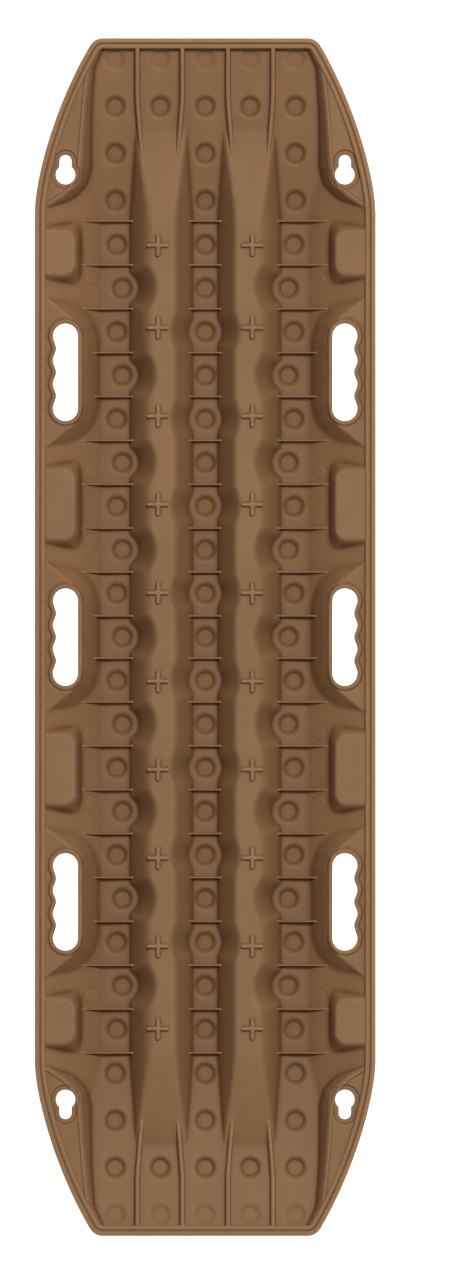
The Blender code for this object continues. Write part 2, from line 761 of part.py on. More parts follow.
def side_base(y_range, drop):
    """Everything below the sloping side zone, or below one lowered by drop."""
    start = SIDE_START + GAP - drop
    end = RAIL_INNER - GAP + drop
    upright = drop * math.hypot(1, SIDE_SLOPE)
    outline = [(start, BELOW - drop), (start, side_z(start) - upright)]
    outline += [(end, side_z(end) - upright), (end, BELOW - drop)]
    return prism_y("base", outline, y_range[0] - drop, y_range[1] + drop)


def side_panel(y_range, outer_block, inner_block):
    """A shell over the side zone: the slope joined to a block, less its own inside."""
    shell = side_base(y_range, 0)
    join(shell, outer_block)
    limit(shell, box("span", (SIDE_START + GAP, RAIL_INNER - GAP), y_range, (BELOW / 2, ABOVE)))
    hollow = side_base(y_range, SKIN)
    join(hollow, inner_block)
    return cut(shell, hollow)


def handle_outline(y):
    """The hand hole: a long slot with round ends and finger waves on its outer side."""
    edge = HALF_WIDTH - HANDLE_SIDE
    radius = HANDLE_WIDTH / 2
    middle = edge - radius
    straight = HANDLE_LENGTH / 2 - radius
    waves = int(straight / (WAVE_PITCH / 4))
    outline = arc(middle, y + straight, radius, 0, 180, 8)
    outline += arc(middle, y - straight, radius, 180, 360, 8)
    for i in range(-waves + 1, waves):
        dy = i * WAVE_PITCH / 4
        depth = WAVE_DEPTH * (1 + math.cos(2 * math.pi * dy / WAVE_PITCH)) / 2
        outline.append((edge - depth, y + dy))
    return outline


def lip_outline(y):
    edge = HALF_WIDTH - HANDLE_SIDE
    radius = HANDLE_WIDTH / 2
    straight = HANDLE_LENGTH / 2 - radius
    outline = arc(edge - radius, y + straight, radius + LIP_WIDTH, 0, 180, 8)
    return outline + arc(edge - radius, y - straight, radius + LIP_WIDTH, 180, 360, 8)


def handle_panel(y):
    half = (HANDLE_PANEL - GAP) / 2
    panel = side_panel((y - half, y + half), handle_block(y), handle_block(y, -SKIN, SKIN))
    lip = prism_z("lip", lip_outline(y), FLANGE_Z - SKIN / 2, FLANGE_Z + LIP_HEIGHT)
    join(panel, lip)
    return cut(panel, prism_z("hand_hole", handle_outline(y), BELOW, ABOVE))


def pad_panel(y, half):
    reach = half + PAD_MARGIN - GAP / 2
    outer = pad_block(y, half)
    inner = pad_block(y, half, -SKIN, SKIN)
    return side_panel((y - reach, y + reach), outer, inner)


def keyhole_outline(grow):
    """A wide circle with a narrow one beside it, joined by a straight neck."""
    wide = KEYHOLE_RADIUS + grow
    narrow = KEYHOLE_NECK_RADIUS + grow
    meet = math.degrees(math.acos(narrow / wide))
    outline = arc(KEYHOLE_X, KEYHOLE_Y, wide, 180 - meet, 360 + meet, 14)
    return outline + arc(KEYHOLE_X, KEYHOLE_Y + KEYHOLE_STEP, narrow, 0, 180, 8)


def keyhole_corner():
    start = FLAT_HALF + GAP / 2
    inner_x = RAMP_HALF_WIDTH + GAP
    across = (inner_x, HALF_WIDTH)
    shell = side_base((start, HALF_LENGTH), 0)
    join(shell, ramp_base(across, 0), corner_block())
    region = box("span", across, (start, HALF_LENGTH), (BELOW / 2, ABOVE))
    limit(shell, region, field())
    hollow = side_base((start, HALF_LENGTH), SKIN)
    wide = (inner_x - SKIN, HALF_WIDTH + SKIN)
    join(hollow, ramp_base(wide, SKIN), corner_block(-SKIN, SKIN))
    cut(shell, hollow)
    recess_z = FLANGE_Z - COUNTERBORE_DEPTH
    cut(shell, prism_z("recess", keyhole_outline(COUNTERBORE_WALL), recess_z, ABOVE))
    return cut(shell, prism_z("keyhole", keyhole_outline(0), BELOW, ABOVE))


# ---------------------------------------------------------------- rails and cleats


def rail(path, normals):
    """An angle section, flat on top with its outer lip turned down, swept along the edge."""
    low = RIM_Z - RAIL_DROP
    under = RIM_Z - SKIN
    profile = [(0, low), (0, RIM_Z), (RAIL_WIDTH, RIM_Z), (RAIL_WIDTH, under)]
    profile += [(SKIN, under), (SKIN, low)]
    rings = []
    for point, normal in zip(path, normals):
        places = [(point + normal * depth, z) for depth, z in profile]
        rings.append([(place.x, place.y, z) for place, z in places])
    return loft("rail", rings)


def side_rail():
    ends = [Vector((HALF_WIDTH, s * (FLAT_HALF - GAP / 2))) for s in (-1, 1)]
    return rail(ends, [Vector((-1, 0))] * 2)


def corner_rail():
    path = corner_edge()
    normals = inwards(path, Vector((-1, 0)), Vector((0, -1)))
    path[0] = path[0] + Vector((0, GAP / 2))
    path[-1] = path[-1] + Vector((GAP / 2, 0))
    return rail(path, normals)


def end_rail():
    half = (END_RAIL_WIDTH - GAP) / 2
    ends = [Vector((s * half, HALF_LENGTH)) for s in (1, -1)]
    return rail(ends, [Vector((0, -1))] * 2)


def cleat_rows():
    last = FLAT_HALF - CLEAT_END_SPACE
    rows = [min(CLEAT_FIRST + CLEAT_PITCH * i, last) for i in range(CLEAT_COUNT)]
    return [-y for y in reversed(rows)] + rows


def cleat(x, y):
    """A cross-shaped cleat standing on a channel's crown."""
    long, half = CLEAT_ARM / 2, CLEAT_THICKNESS / 2
    outline = [(long, half), (half, half), (half, long), (-half, long), (-half, half)]
    outline += [(-long, half), (-long, -half), (-half, -half), (-half, -long)]
    outline += [(half, -long), (half, -half), (long, -half)]
    base = RIM_Z + GAP
    return prism_z("cleat", [(x + a, y + b) for a, b in outline], base, RIM_Z + CLEAT_HEIGHT)


# ---------------------------------------------------------------- the board


def build_middle():
    centre_tread()
    for section, stem, colour in (
        (outer_tread(), "tread", TREAD_BROWN),
        (channel(), "channel", CHANNEL_BROWN),
        (side_rail(), "side_rail", RAIL_BROWN),
    ):
        for side, sign in (("right", 1), ("left", -1)):
            mirrored(section, f"{stem}_{side}", sign, 1, colour)
        bpy.data.objects.remove(section, do_unlink=True)


def build_ends():
    for section, stem, colour in (
        (end_ramp(), "ramp", TREAD_BROWN),
        (end_rail(), "end_rail", RAIL_BROWN),
    ):
        for end, sign in (("front", 1), ("rear", -1)):
            mirrored(section, f"{stem}_{end}", 1, sign, colour)
        bpy.data.objects.remove(section, do_unlink=True)
    four_corners(keyhole_corner(), "keyhole_corner", PANEL_BROWN)
    four_corners(corner_rail(), "corner_rail", RAIL_BROWN)


def build_sides():
    four_corners(handle_panel(HANDLE_Y), "handle", PANEL_BROWN)
    middle = handle_panel(0)
    for side, sign in (("right", 1), ("left", -1)):
        mirrored(middle, f"handle_{side}_middle", sign, 1, PANEL_BROWN)
    bpy.data.objects.remove(middle, do_unlink=True)
    for stem, (y, half) in zip(("long_pad", "short_pad"), pad_places()):
        four_corners(pad_panel(y, half), stem, PANEL_BROWN)


def build_cleats():
    x = (CHANNEL_IN + CHANNEL_OUT) / 2 + CLEAT_OFFSET
    for side, sign in (("right", 1), ("left", -1)):
        for number, y in enumerate(cleat_rows(), 1):
            finish(cleat(sign * x, y), f"cleat_{side}_{number}", CLEAT_BROWN)


def main():
    for obj in list(bpy.data.objects):
        bpy.data.objects.remove(obj, do_unlink=True)
    build_middle()
    build_ends()
    build_sides()
    build_cleats()


main()
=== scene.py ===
"""Visual model of a moulded-nylon vehicle traction board, hollow cleated back up.

The whole back is one height function of (x, y), built from planes, cones and raised blocks that
are blended with rounded edges. Each section of the board is a slab of that function, with the
same function lowered by the skin as its underside, so neighbouring sections meet without a step.
Lengths are in millimetres until a mesh is written. +X is right, +Y the length, +Z up.
"""

import math

import bpy
import numpy as np
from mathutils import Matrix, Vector


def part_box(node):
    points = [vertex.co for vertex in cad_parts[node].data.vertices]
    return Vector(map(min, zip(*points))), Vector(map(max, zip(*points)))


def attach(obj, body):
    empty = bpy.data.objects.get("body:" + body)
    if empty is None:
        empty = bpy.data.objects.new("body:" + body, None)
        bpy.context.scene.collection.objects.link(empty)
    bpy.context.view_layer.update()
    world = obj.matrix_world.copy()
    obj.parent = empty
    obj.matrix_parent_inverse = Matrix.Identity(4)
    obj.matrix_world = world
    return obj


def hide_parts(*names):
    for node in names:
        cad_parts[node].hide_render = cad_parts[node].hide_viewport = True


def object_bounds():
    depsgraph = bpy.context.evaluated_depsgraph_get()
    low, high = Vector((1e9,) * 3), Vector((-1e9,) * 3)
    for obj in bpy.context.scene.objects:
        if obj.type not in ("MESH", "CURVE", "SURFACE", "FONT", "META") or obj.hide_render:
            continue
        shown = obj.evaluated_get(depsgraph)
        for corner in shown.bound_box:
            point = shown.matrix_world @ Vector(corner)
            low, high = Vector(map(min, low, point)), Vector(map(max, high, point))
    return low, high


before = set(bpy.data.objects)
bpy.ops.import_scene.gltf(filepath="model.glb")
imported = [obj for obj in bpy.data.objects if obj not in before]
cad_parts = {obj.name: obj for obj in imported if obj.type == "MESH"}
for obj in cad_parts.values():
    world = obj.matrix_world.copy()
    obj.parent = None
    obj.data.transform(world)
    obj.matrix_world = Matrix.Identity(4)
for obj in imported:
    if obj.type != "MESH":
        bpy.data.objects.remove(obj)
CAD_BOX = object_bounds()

MM = 0.001
GAP = 0.3  # between the frame's sections; the visual pieces close it
SKIN = 4.0


def node_box(node):
    """A frame node's lowest and highest corner, in millimetres."""
    low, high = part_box(node)
    return np.array(low) / MM, np.array(high) / MM


# ---------------------------------------------------------------- places taken from the frame

HALF_WIDTH = CAD_BOX[1][0] / MM
HALF_LENGTH = CAD_BOX[1][1] / MM
RAIL_LOW, RAIL_HIGH = node_box("side_rail_right")
CHANNEL_LOW, CHANNEL_HIGH = node_box("channel_right")
PANEL_LOW, PANEL_HIGH = node_box("handle_right_middle")
RAIL_INNER = RAIL_LOW[0]
RAIL_WIDTH = HALF_WIDTH - RAIL_INNER
RIM = RAIL_HIGH[2]
DECK = CHANNEL_LOW[2] + SKIN
FLAT_HALF = RAIL_HIGH[1] + GAP / 2
CHANNEL_IN = CHANNEL_LOW[0] - GAP
CHANNEL_OUT = CHANNEL_HIGH[0] + GAP
SIDE_START = PANEL_LOW[0] - GAP
RAMP_HALF_WIDTH = node_box("ramp_front")[1][0]
FLANGE = RIM - 2.0
PAD = RIM - 1.0

WALL_RUN, SIDE_RISE, RAMP_RISE = 16.9, 28.6, 24.0
WALL_SLOPE = (RIM - DECK) / WALL_RUN
SIDE_SLOPE = SIDE_RISE / (RAIL_INNER - SIDE_START)
RAMP_SLOPE = RAMP_RISE / (HALF_LENGTH - RAIL_WIDTH - FLAT_HALF)
RUN_OUT_SLOPE, RUN_OUT_UPRIGHT = 0.27, 1.04  # the second is its upright skin over its true one
ROW_PITCH = 41.92
LAST_ROW = 9
END_ROW = HALF_LENGTH - 20.1
END_PITCH = 45.1
OUTER_PLAIN_X = CHANNEL_OUT + 12.3
OUTER_LOBED_X = CHANNEL_OUT + 7.0
OUTER_RAMP_X = CHANNEL_OUT + 13.7
MIDDLE_RAMP_X = (CHANNEL_IN + CHANNEL_OUT) / 2 + 0.9
CENTRE_LOBE = 16.0
OUTER_LOBE = 15.5
TOOTH_DEPTH = 16.0
TOOTH_TIP, TOOTH_SPREAD = 6.3, 5.7  # the tip's radius, and how much wider the root is
PIT_DEPTH, END_PIT_DEPTH = 4.4, 1.5
PIT_RIM, PIT_FLOOR = 12.2, 7.6  # radii
EJECTOR_X, EJECTOR_YS, EJECTOR_RADIUS = 109.0, (92.5, 159.0, 345.0), 6.2
LIP_HEIGHT, LIP_GROOVE, HOLE_ROUND = 1.5, 0.6, 1.5
BEAD_HEIGHT, COUNTERBORE_DEPTH, KEYHOLE_BEVEL = 1.4, 1.9, 0.6
PAD_MARGIN, PAD_REACH, PAD_ROUND = 13.2, 28.4, 11.0
PAD_WALL, PAD_END_WALL = 8.3, 14.0
END_STRAIGHT = 96.0  # half of the straight line at the board's end
END_RADIUS, END_CENTRE_X = 14.5, 98.24
END_LEAN, SIDE_PULL, END_PULL = 30.4, 36.6, 65.0  # the lean in degrees, and the Bezier's handles
CLEATS_A_SIDE = 10
SHARP_ANGLE = 38.0
TILT = 0.10  # how far the handle and corner flanges fall outwards
FAR = 400.0  # how far a block's outline runs past the board's edge


# ---------------------------------------------------------------- number tools


def soft_max(a, b, k):
    """The larger of two heights, plus (k - |a - b|)^2 / 4k where they are within k: a fillet."""
    near = np.maximum(k - np.abs(a - b), 0) / k
    return np.maximum(a, b) + near * near * k / 4


def soft_min(a, b, k):
    """The smaller of two heights, less the same term: a rounded edge."""
    return -soft_max(-a, -b, k)


def step(value, start, end):
    """0 at start and 1 at end, by 3t^2 - 2t^3 between them."""
    t = np.clip((value - start) / (end - start), 0, 1)
    return t * t * (3 - 2 * t)


def outline_distance(x, y, outline):
    """Distance to a closed outline, negative inside: the least distance to its edges, with the
    sign from the number of edges that a line along X crosses."""
    points = np.asarray(outline, float)
    least = np.full(np.shape(x), 1e12)
    inside = np.zeros(np.shape(x), bool)
    for (x0, y0), (x1, y1) in zip(points, np.roll(points, -1, axis=0)):
        ex, ey = x1 - x0, y1 - y0
        px, py = x - x0, y - y0
        t = np.clip((px * ex + py * ey) / (ex * ex + ey * ey), 0, 1)
        least = np.minimum(least, (px - t * ex) ** 2 + (py - t * ey) ** 2)
        crosses = (y0 > y) != (y1 > y)
        if ey:
            inside ^= crosses & (px < ex * py / ey)
    return np.where(inside, -1, 1) * np.sqrt(least)


def arc(x, y, radius, start, end, count):
    """Points (x + r cos a, y + r sin a) for angles from start to end, in degrees."""
    turns = np.radians(np.linspace(start, end, count))
    return [(x + radius * math.cos(a), y + radius * math.sin(a)) for a in turns]


# ---------------------------------------------------------------- outlines of blocks and holes


def mirrored_outline(half):
    """An outline that runs back along itself on the other side of y = 0."""
    return half + [(x, -y) for x, y in reversed(half)]


def handle_outlines():
    """The flange's edge and its wall's foot round a hand hole, about y = 0."""
    r = RAIL_INNER
    top = [(FAR, 72), (r, 72), (r - 9.7, 64.3), (r - 23.4, 53), (r - 32.4, 43), (r - 35.0, 30)]
    foot = [(FAR, 84), (r, 84), (r - 17.5, 82), (r - 31, 77), (r - 39, 67), (r - 48, 51)]
    foot += [(r - 52, 33)]
    return mirrored_outline(top), mirrored_outline(foot)


def pad_outlines(half):
    """A pad's plateau and the foot of its walls, about y = 0."""
    inner = RAIL_INNER - PAD_REACH
    outlines = []
    for run, end_run in ((0, 0), (PAD_WALL, PAD_END_WALL)):
        x, reach = inner - run, half + end_run
        corner = arc(x + PAD_ROUND, reach - PAD_ROUND, PAD_ROUND, 90, 180, 8)
        outlines.append(mirrored_outline([(FAR, reach)] + corner))
    return outlines


def corner_outlines():
    """The corner flange's inner edge and the foot of its wall."""
    r, end = RAIL_INNER, HALF_LENGTH
    top = [(r + FAR, end + FAR), (r - 62, end + FAR), (r - 62, end + 20), (r - 52.8, end - 11)]
    top += [(r - 43.1, end - 28), (r - 40.3, end - 48), (r - 38.1, end - 70)]
    top += [(r - 36, end - 98), (r - 34.4, end - 123), (r - 31.5, end - 134)]
    top += [(r - 25.9, end - 144), (r - 17, end - 152.5), (r - 4, end - 161)]
    top += [(r + FAR, end - 350)]
    foot = [(r + FAR, end + FAR), (r - 76, end + FAR), (r - 76, end + 20), (r - 63, end - 11)]
    foot += [(r - 56, end - 28), (r - 50.5, end - 70), (r - 47, end - 124), (r - 42, end - 143)]
    foot += [(r - 30, end - 160), (r - 8, end - 172), (r + FAR, end - 366)]
    return top, foot


HOLE_EDGE = HALF_WIDTH - 17.5
HOLE_RADIUS = 12.05
HOLE_HALF = 46.8
HOLE_STRAIGHT = HOLE_HALF - HOLE_RADIUS
HOLE_X = HOLE_EDGE - HOLE_RADIUS
WAVE_DEPTH, WAVE_PITCH = 3.1, 22.7


def hand_hole():
    """A slot with round ends; its outer side is edge - depth (1 + cos(2 pi y / pitch)) / 2."""
    top = arc(HOLE_X, HOLE_STRAIGHT, HOLE_RADIUS, 0, 180, 20)
    bottom = arc(HOLE_X, -HOLE_STRAIGHT, HOLE_RADIUS, 180, 360, 20)
    y = np.linspace(-HOLE_STRAIGHT, HOLE_STRAIGHT, 50)[1:-1]
    fade = step(HOLE_STRAIGHT - np.abs(y), 0, 4)
    wave = HOLE_EDGE - fade * WAVE_DEPTH * (1 + np.cos(2 * math.pi * y / WAVE_PITCH)) / 2
    return top + bottom + list(zip(wave, y))


KEYHOLE_X = HALF_WIDTH - 29.6
KEYHOLE_Y = HALF_LENGTH - 131.0
KEYHOLE_WIDE, KEYHOLE_NARROW, KEYHOLE_RUN = 9.4, 5.9, 13.0
COUNTERBORE_MARGIN = 5.0


def keyhole(grow=0.0):
    """A wide circle and a narrow one further out, joined by a straight neck, grown all round."""
    wide, narrow = KEYHOLE_WIDE + grow, KEYHOLE_NARROW + grow
    meet = math.degrees(math.acos(narrow / wide))
    outline = arc(KEYHOLE_X, KEYHOLE_Y, wide, 180 - meet, 360 + meet, 40)
    return outline + arc(KEYHOLE_X, KEYHOLE_Y + KEYHOLE_RUN, narrow, 0, 180, 20)


def edge_path():
    """The board's edge in one quarter, from the straight side to the end: a cubic Bezier
    p = s^3 a + 3 s^2 t b + 3 s t^2 c + t^3 d, then a rounded corner, then the end's line.
    Returns the points and their inward normals."""
    lean = math.radians(END_LEAN)
    along = np.array([-math.sin(lean), math.cos(lean)])
    centre = np.array([END_CENTRE_X, HALF_LENGTH - END_RADIUS])
    start = np.array([HALF_WIDTH, FLAT_HALF])
    end = centre + END_RADIUS * np.array([math.cos(lean), math.sin(lean)])
    first, last = start + [0, SIDE_PULL], end - END_PULL * along
    t = np.linspace(0, 1, 70)[:, None]
    s = 1 - t
    taper = s**3 * start + 3 * s * s * t * first + 3 * s * t * t * last + t**3 * end
    slope = 3 * (s * s * (first - start) + 2 * s * t * (last - first) + t * t * (end - last))
    slope /= np.linalg.norm(slope, axis=1)[:, None]
    turn = np.linspace(lean, math.pi / 2, 14)[1:]
    round_out = np.stack([np.cos(turn), np.sin(turn)], axis=1)
    points = [taper, centre + END_RADIUS * round_out, [[END_STRAIGHT, HALF_LENGTH]]]
    taper_in = np.stack([-slope[:, 1], slope[:, 0]], axis=1)
    return np.concatenate(points), np.concatenate([taper_in, -round_out, [[0.0, -1.0]]])


EDGE, EDGE_IN = edge_path()
INNER_EDGE = EDGE + RAIL_WIDTH * EDGE_IN


# ---------------------------------------------------------------- the height function

CORNER_TOP, CORNER_FOOT = corner_outlines()
HANDLE_TOP, HANDLE_FOOT = handle_outlines()
HAND_HOLE = hand_hole()
HANDLE_YS = [0.0, sum(node_box("handle_right_front")[k][1] for k in (0, 1)) / 2]


def cleat_places():
    """The middle and the arm's reach of each cleat on the right."""
    places = []
    for number in range(1, CLEATS_A_SIDE + 1):
        low, high = node_box(f"cleat_right_{number}")
        middle = (low + high) / 2
        places.append((middle[0], middle[1], (high[0] - low[0]) / 2 - 1.2))
    return places


def pad_places():
    """The middle, plateau and foot of each kind of pad."""
    places = []
    for stem in ("long_pad_right_front", "short_pad_right_front"):
        low, high = node_box(stem)
        middle, reach = (low[1] + high[1]) / 2, (high[1] - low[1]) / 2
        places.append((middle, *pad_outlines(reach + GAP / 2 - PAD_MARGIN)))
    return places


CLEATS, PADS = cleat_places(), pad_places()


def raised_block(x, y, top, foot, crest, skin, edge=2.2):
    """A block that is level inside its top outline and falls to the deck at its foot outline:
    crest - (crest - deck) * a / (a - b), with a and b the distances to the two outlines."""
    to_top = outline_distance(x, y, top)
    to_foot = outline_distance(x, y, foot)
    wall = crest - (crest - DECK) * to_top / np.maximum(to_top - to_foot, 0.5)
    return soft_min(crest - skin, wall - 2.0 * skin, edge), to_top


def tooth_places(ax, ay):
    """For each point, the distance to the nearest tooth of each column, that tooth's height
    and its pit's depth. Rows repeat at one pitch on the decks and at another on the ramps."""
    row = np.clip(np.round(ay / ROW_PITCH), 0, LAST_ROW)
    lobed = (row % 2 == 0) & (row < LAST_ROW)
    flat_outer = np.where(lobed, OUTER_LOBED_X, OUTER_PLAIN_X)
    end = np.clip(np.round((END_ROW - ay) / END_PITCH), 0, 3)
    on_ramp = ay > (LAST_ROW * ROW_PITCH + END_ROW - 3 * END_PITCH) / 2
    row_y = np.where(on_ramp, END_ROW - end * END_PITCH, row * ROW_PITCH)
    outer_x = np.where(on_ramp, OUTER_RAMP_X, flat_outer)
    dy = ay - row_y
    near = np.minimum(np.hypot(ax, dy), np.hypot(ax - outer_x, dy))
    middle = np.where(on_ramp & (end < 2), np.hypot(ax - MIDDLE_RAMP_X, dy), 1e3)
    height = np.where(on_ramp, TOOTH_DEPTH - 8 * (1 - end / 3), TOOTH_DEPTH)
    depth = np.where(on_ramp & (end < 1), END_PIT_DEPTH, PIT_DEPTH)
    return np.minimum(near, middle), height, depth


def channel_height(ax, ay, skin):
    """Two leaning walls under a flat crown, scooped by cones round the decks' lobes and cut
    down at the ends by a sloping plane."""
    drop = skin * math.hypot(1, WALL_SLOPE)
    inner = DECK + (ax - CHANNEL_IN) * WALL_SLOPE - drop
    outer = DECK + (CHANNEL_OUT - ax) * WALL_SLOPE - drop
    height = soft_min(soft_min(inner, RIM - skin + 0 * ax, 6.0), outer, 12.0)
    odd = np.clip(2 * np.round((ay / ROW_PITCH - 1) / 2) + 1, 1, LAST_ROW - 2)
    even = np.clip(2 * np.round(ay / ROW_PITCH / 2), 0, LAST_ROW - 1)
    centre = np.hypot(ax, ay - odd * ROW_PITCH) - CENTRE_LOBE
    side = np.hypot(ax - OUTER_LOBED_X, ay - even * ROW_PITCH) - OUTER_LOBE
    for reach in (centre, side):
        height = soft_min(height, DECK + reach * WALL_SLOPE - drop, 6.0)
    run_out = RIM - (ay - FLAT_HALF - 3) * RUN_OUT_SLOPE - skin * RUN_OUT_UPRIGHT
    return soft_min(height, run_out, 4.0)


def side_features(ax, ay, height, skin):
    """Adds the slopes, flanges, pads, lips, counterbores and ejector marks of the side zone."""
    slope = DECK + (ax - SIDE_START) * SIDE_SLOPE - skin * math.hypot(1, SIDE_SLOPE)
    height = soft_max(height, slope, 1.6)
    if not skin:
        for mark_y in EJECTOR_YS:
            mark = np.hypot(ax - EJECTOR_X, ay - mark_y)
            disc = 0.35 * step(mark, 6.5, 5.9)
            height = height + disc - 0.45 * step(mark, 7.6, 6.9) * step(mark, 5.9, 6.5)
    flange = FLANGE - TILT * np.maximum(ax - (RAIL_INNER - 32), 0)
    for y in HANDLE_YS:
        block, _ = raised_block(ax, ay - y, HANDLE_TOP, HANDLE_FOOT, flange, skin)
        if not skin:
            hole = outline_distance(ax, ay - y, HAND_HOLE)
            groove = LIP_GROOVE * step(hole, 7.0, 5.2) * step(hole, 3.8, 4.6)
            block = block + LIP_HEIGHT * step(hole, 4.2, 3.2) - groove
            short = np.clip(HOLE_ROUND - np.maximum(hole, 0), 0, HOLE_ROUND)
            fall = HOLE_ROUND - np.sqrt(HOLE_ROUND**2 - short**2)
            block = block - fall * (hole < HOLE_ROUND)
        height = soft_max(height, block, 2.5)
    for y, top, foot in PADS:
        block, _ = raised_block(ax, ay - y, top, foot, PAD, skin, 7.0)
        height = soft_max(height, block, 4.0)
    block, to_edge = raised_block(ax, ay, CORNER_TOP, CORNER_FOOT, flange, skin)
    if not skin:
        block = block + BEAD_HEIGHT * step(to_edge, -4.2, -2.9) * step(to_edge, -0.6, -1.7)
        sunk = outline_distance(ax, ay, keyhole(COUNTERBORE_MARGIN))
        block = block - COUNTERBORE_DEPTH * step(sunk, 0.35, -0.35)
        block = block - KEYHOLE_BEVEL * step(outline_distance(ax, ay, keyhole()), 0.9, 0)
    return soft_max(height, block, 2.5)


def surface(x, y, skin=0.0):
    """Height of the back at (x, y), or of the underside where skin is more than 0. The board is
    the same in all four quarters, so it works on |x| and |y|."""
    ax, ay = np.abs(x), np.abs(y)
    ramp = DECK + (ay - FLAT_HALF) * RAMP_SLOPE
    height = soft_max(ramp, DECK + 0 * ax, 1.0) - skin
    height = soft_max(height, channel_height(ax, ay, skin), 1.3)
    if ax.max() > SIDE_START - 4:
        height = side_features(ax, ay, height, skin)
    radius, tooth, depth = tooth_places(ax, ay)
    if not skin:
        cup = np.clip((PIT_RIM - radius) / (PIT_RIM - PIT_FLOOR), 0, 1) ** 1.7
        return height - depth * cup
    floor = soft_max(ramp, DECK + 0 * ax, 1.0) - skin
    tip = floor - tooth
    cone = soft_max(tip, tip + (radius - TOOTH_TIP) * tooth / TOOTH_SPREAD, 2.0)
    return np.maximum(soft_min(height, cone, 1.5), 0.0)


# ---------------------------------------------------------------- meshes


def new_object(name, points, groups, creases, marks):
    """A mesh object from points in millimetres and groups of faces, each group an array with
    one column per corner. 'creases' is either the pairs of points whose edges are sharp or the
    angle over which an edge is sharp. 'marks' are named point attributes."""
    mesh = bpy.data.meshes.new(name)
    mesh.vertices.add(len(points))
    mesh.vertices.foreach_set("co", (points * MM).astype(np.float32).ravel())
    corners = np.concatenate([group.ravel() for group in groups]).astype(np.int32)
    sizes = np.concatenate([np.full(len(group), group.shape[1]) for group in groups])
    starts = np.concatenate([[0], np.cumsum(sizes)[:-1]]).astype(np.int32)
    mesh.loops.add(len(corners))
    mesh.loops.foreach_set("vertex_index", corners)
    mesh.polygons.add(len(sizes))
    mesh.polygons.foreach_set("loop_start", starts)
    mesh.update(calc_edges=True)
    mesh.validate()
    mesh.shade_smooth()
    if isinstance(creases, float):
        mesh.set_sharp_from_angle(angle=math.radians(creases))
    else:
        ends = np.empty(len(mesh.edges) * 2, np.int32)
        mesh.edges.foreach_get("vertices", ends)
        ends = np.sort(ends.reshape(-1, 2).astype(np.int64), axis=1)
        pairs = np.sort(creases, axis=1)
        total = len(points)
        sharp = np.isin(ends[:, 0] * total + ends[:, 1], pairs[:, 0] * total + pairs[:, 1])
        mesh.attributes.new("sharp_edge", "BOOLEAN", "EDGE").data.foreach_set("value", sharp)
    for label, values in marks.items():
        layer = mesh.attributes.new(label, "FLOAT", "POINT")
        layer.data.foreach_set("value", values.astype(np.float32))
    obj = bpy.data.objects.new(name, mesh)
    bpy.context.scene.collection.objects.link(obj)
    return obj


def grid_faces(rows, columns, wrap):
    """Quads of a grid, row by row, joined round in its second direction where wrap is set."""
    index = np.arange(rows * columns).reshape(rows, columns)
    if wrap:
        index = np.concatenate([index, index[:, :1]], axis=1)
    corners = (index[:-1, :-1], index[:-1, 1:], index[1:, 1:], index[1:, :-1])
    return np.stack([c.ravel() for c in corners], axis=1)


def cleat_foot_shadow(x, y):
    """A painted shadow mask on the ground within 3 mm of a cleat's cross, 0.7 beside it and 0
    further out.
    """
    mask = 0 * x
    for middle_x, middle_y, arm in CLEATS:
        dx, dy = np.abs(x - middle_x), np.abs(y - middle_y)
        level = np.hypot(np.maximum(dx - arm, 0), np.maximum(dy - 1.8, 0))
        upright = np.hypot(np.maximum(dy - arm, 0), np.maximum(dx - 1.8, 0))
        mask = np.maximum(mask, 0.7 * step(np.minimum(level, upright), 3.0, 0.3))
    return mask


def slab(name, x, y, wrap=False):
    """A closed slab over a grid of (x, y): the height function on top, the same function under
    its skin below, and upright walls round the grid's border. Its marks say where an edge is
    rubbed (higher than the mean 1.5 mm off) and where painted shade darkens it (lower than the
    mean 7 mm off, deep under the rim, in a crease, and a painted shadow at a cleat's foot)."""
    rows, columns = x.shape
    top, under = surface(x, y), surface(x, y, SKIN)
    under = np.minimum(under, top - 1.5)
    near = sum(surface(x + dx, y + dy) for dx, dy in ((1.5, 0), (-1.5, 0), (0, 1.5), (0, -1.5)))
    wide = sum(surface(x + dx, y + dy) for dx, dy in ((5, 5), (-5, 5), (5, -5), (-5, -5)))
    rub = np.clip((top - near / 4 - 0.08) / 0.6, 0, 1)
    for mark_y in EJECTOR_YS:
        off_middle = np.hypot(np.abs(x) - EJECTOR_X, np.abs(y) - mark_y)
        off_ring = np.abs(off_middle - EJECTOR_RADIUS)
        rub = np.maximum(rub, 0.5 * step(off_ring, 1.3, 0.2))
    # Painted shade: darker the deeper the surface lies below the rim, in hollows and creases, and a
    # painted shadow round each cleat's foot.
    sunk = 1 - step(top, DECK - 4, RIM - 6)
    crease = np.clip((near / 4 - top) / 0.45, 0, 1) * 0.55
    hollow = np.clip(sunk * 0.36 + (wide / 4 - top) / 12.0 + crease + cleat_foot_shadow(x, y), 0, 1)
    count = rows * columns
    points = np.concatenate([np.stack([x, y, z], axis=-1).reshape(-1, 3) for z in (top, under)])
    upper = grid_faces(rows, columns, wrap)
    index = np.arange(count).reshape(rows, columns)
    if wrap:
        loops = [np.append(index[0], index[0, 0])[::-1], np.append(index[-1], index[-1, 0])]
    else:
        loops = [np.concatenate([index[0, ::-1], index[1:, 0]])]
        loops.append(np.concatenate([index[-1], index[-2::-1, -1]]))
    walls = [np.stack([r[:-1], r[1:], r[1:] + count, r[:-1] + count], axis=1) for r in loops]
    walls = np.concatenate(walls)
    faces = np.concatenate([upper, upper[:, ::-1] + count, walls])
    a, b, c = (points[upper[:, k]] for k in (0, 1, 2))
    if np.cross(b - a, c - a)[:, 2].sum() < 0:
        faces = faces[:, ::-1]
    creases = np.concatenate([walls[:, :2], walls[:, 2:]])
    marks = {"rub": np.tile(rub.ravel(), 2), "hollow": np.tile(hollow.ravel(), 2)}
    marks["rub"][count:] = 0
    # The underside carries an even painted shade.
    marks["hollow"][count:] = 0.3
    return new_object(name, points, [faces], creases, marks)


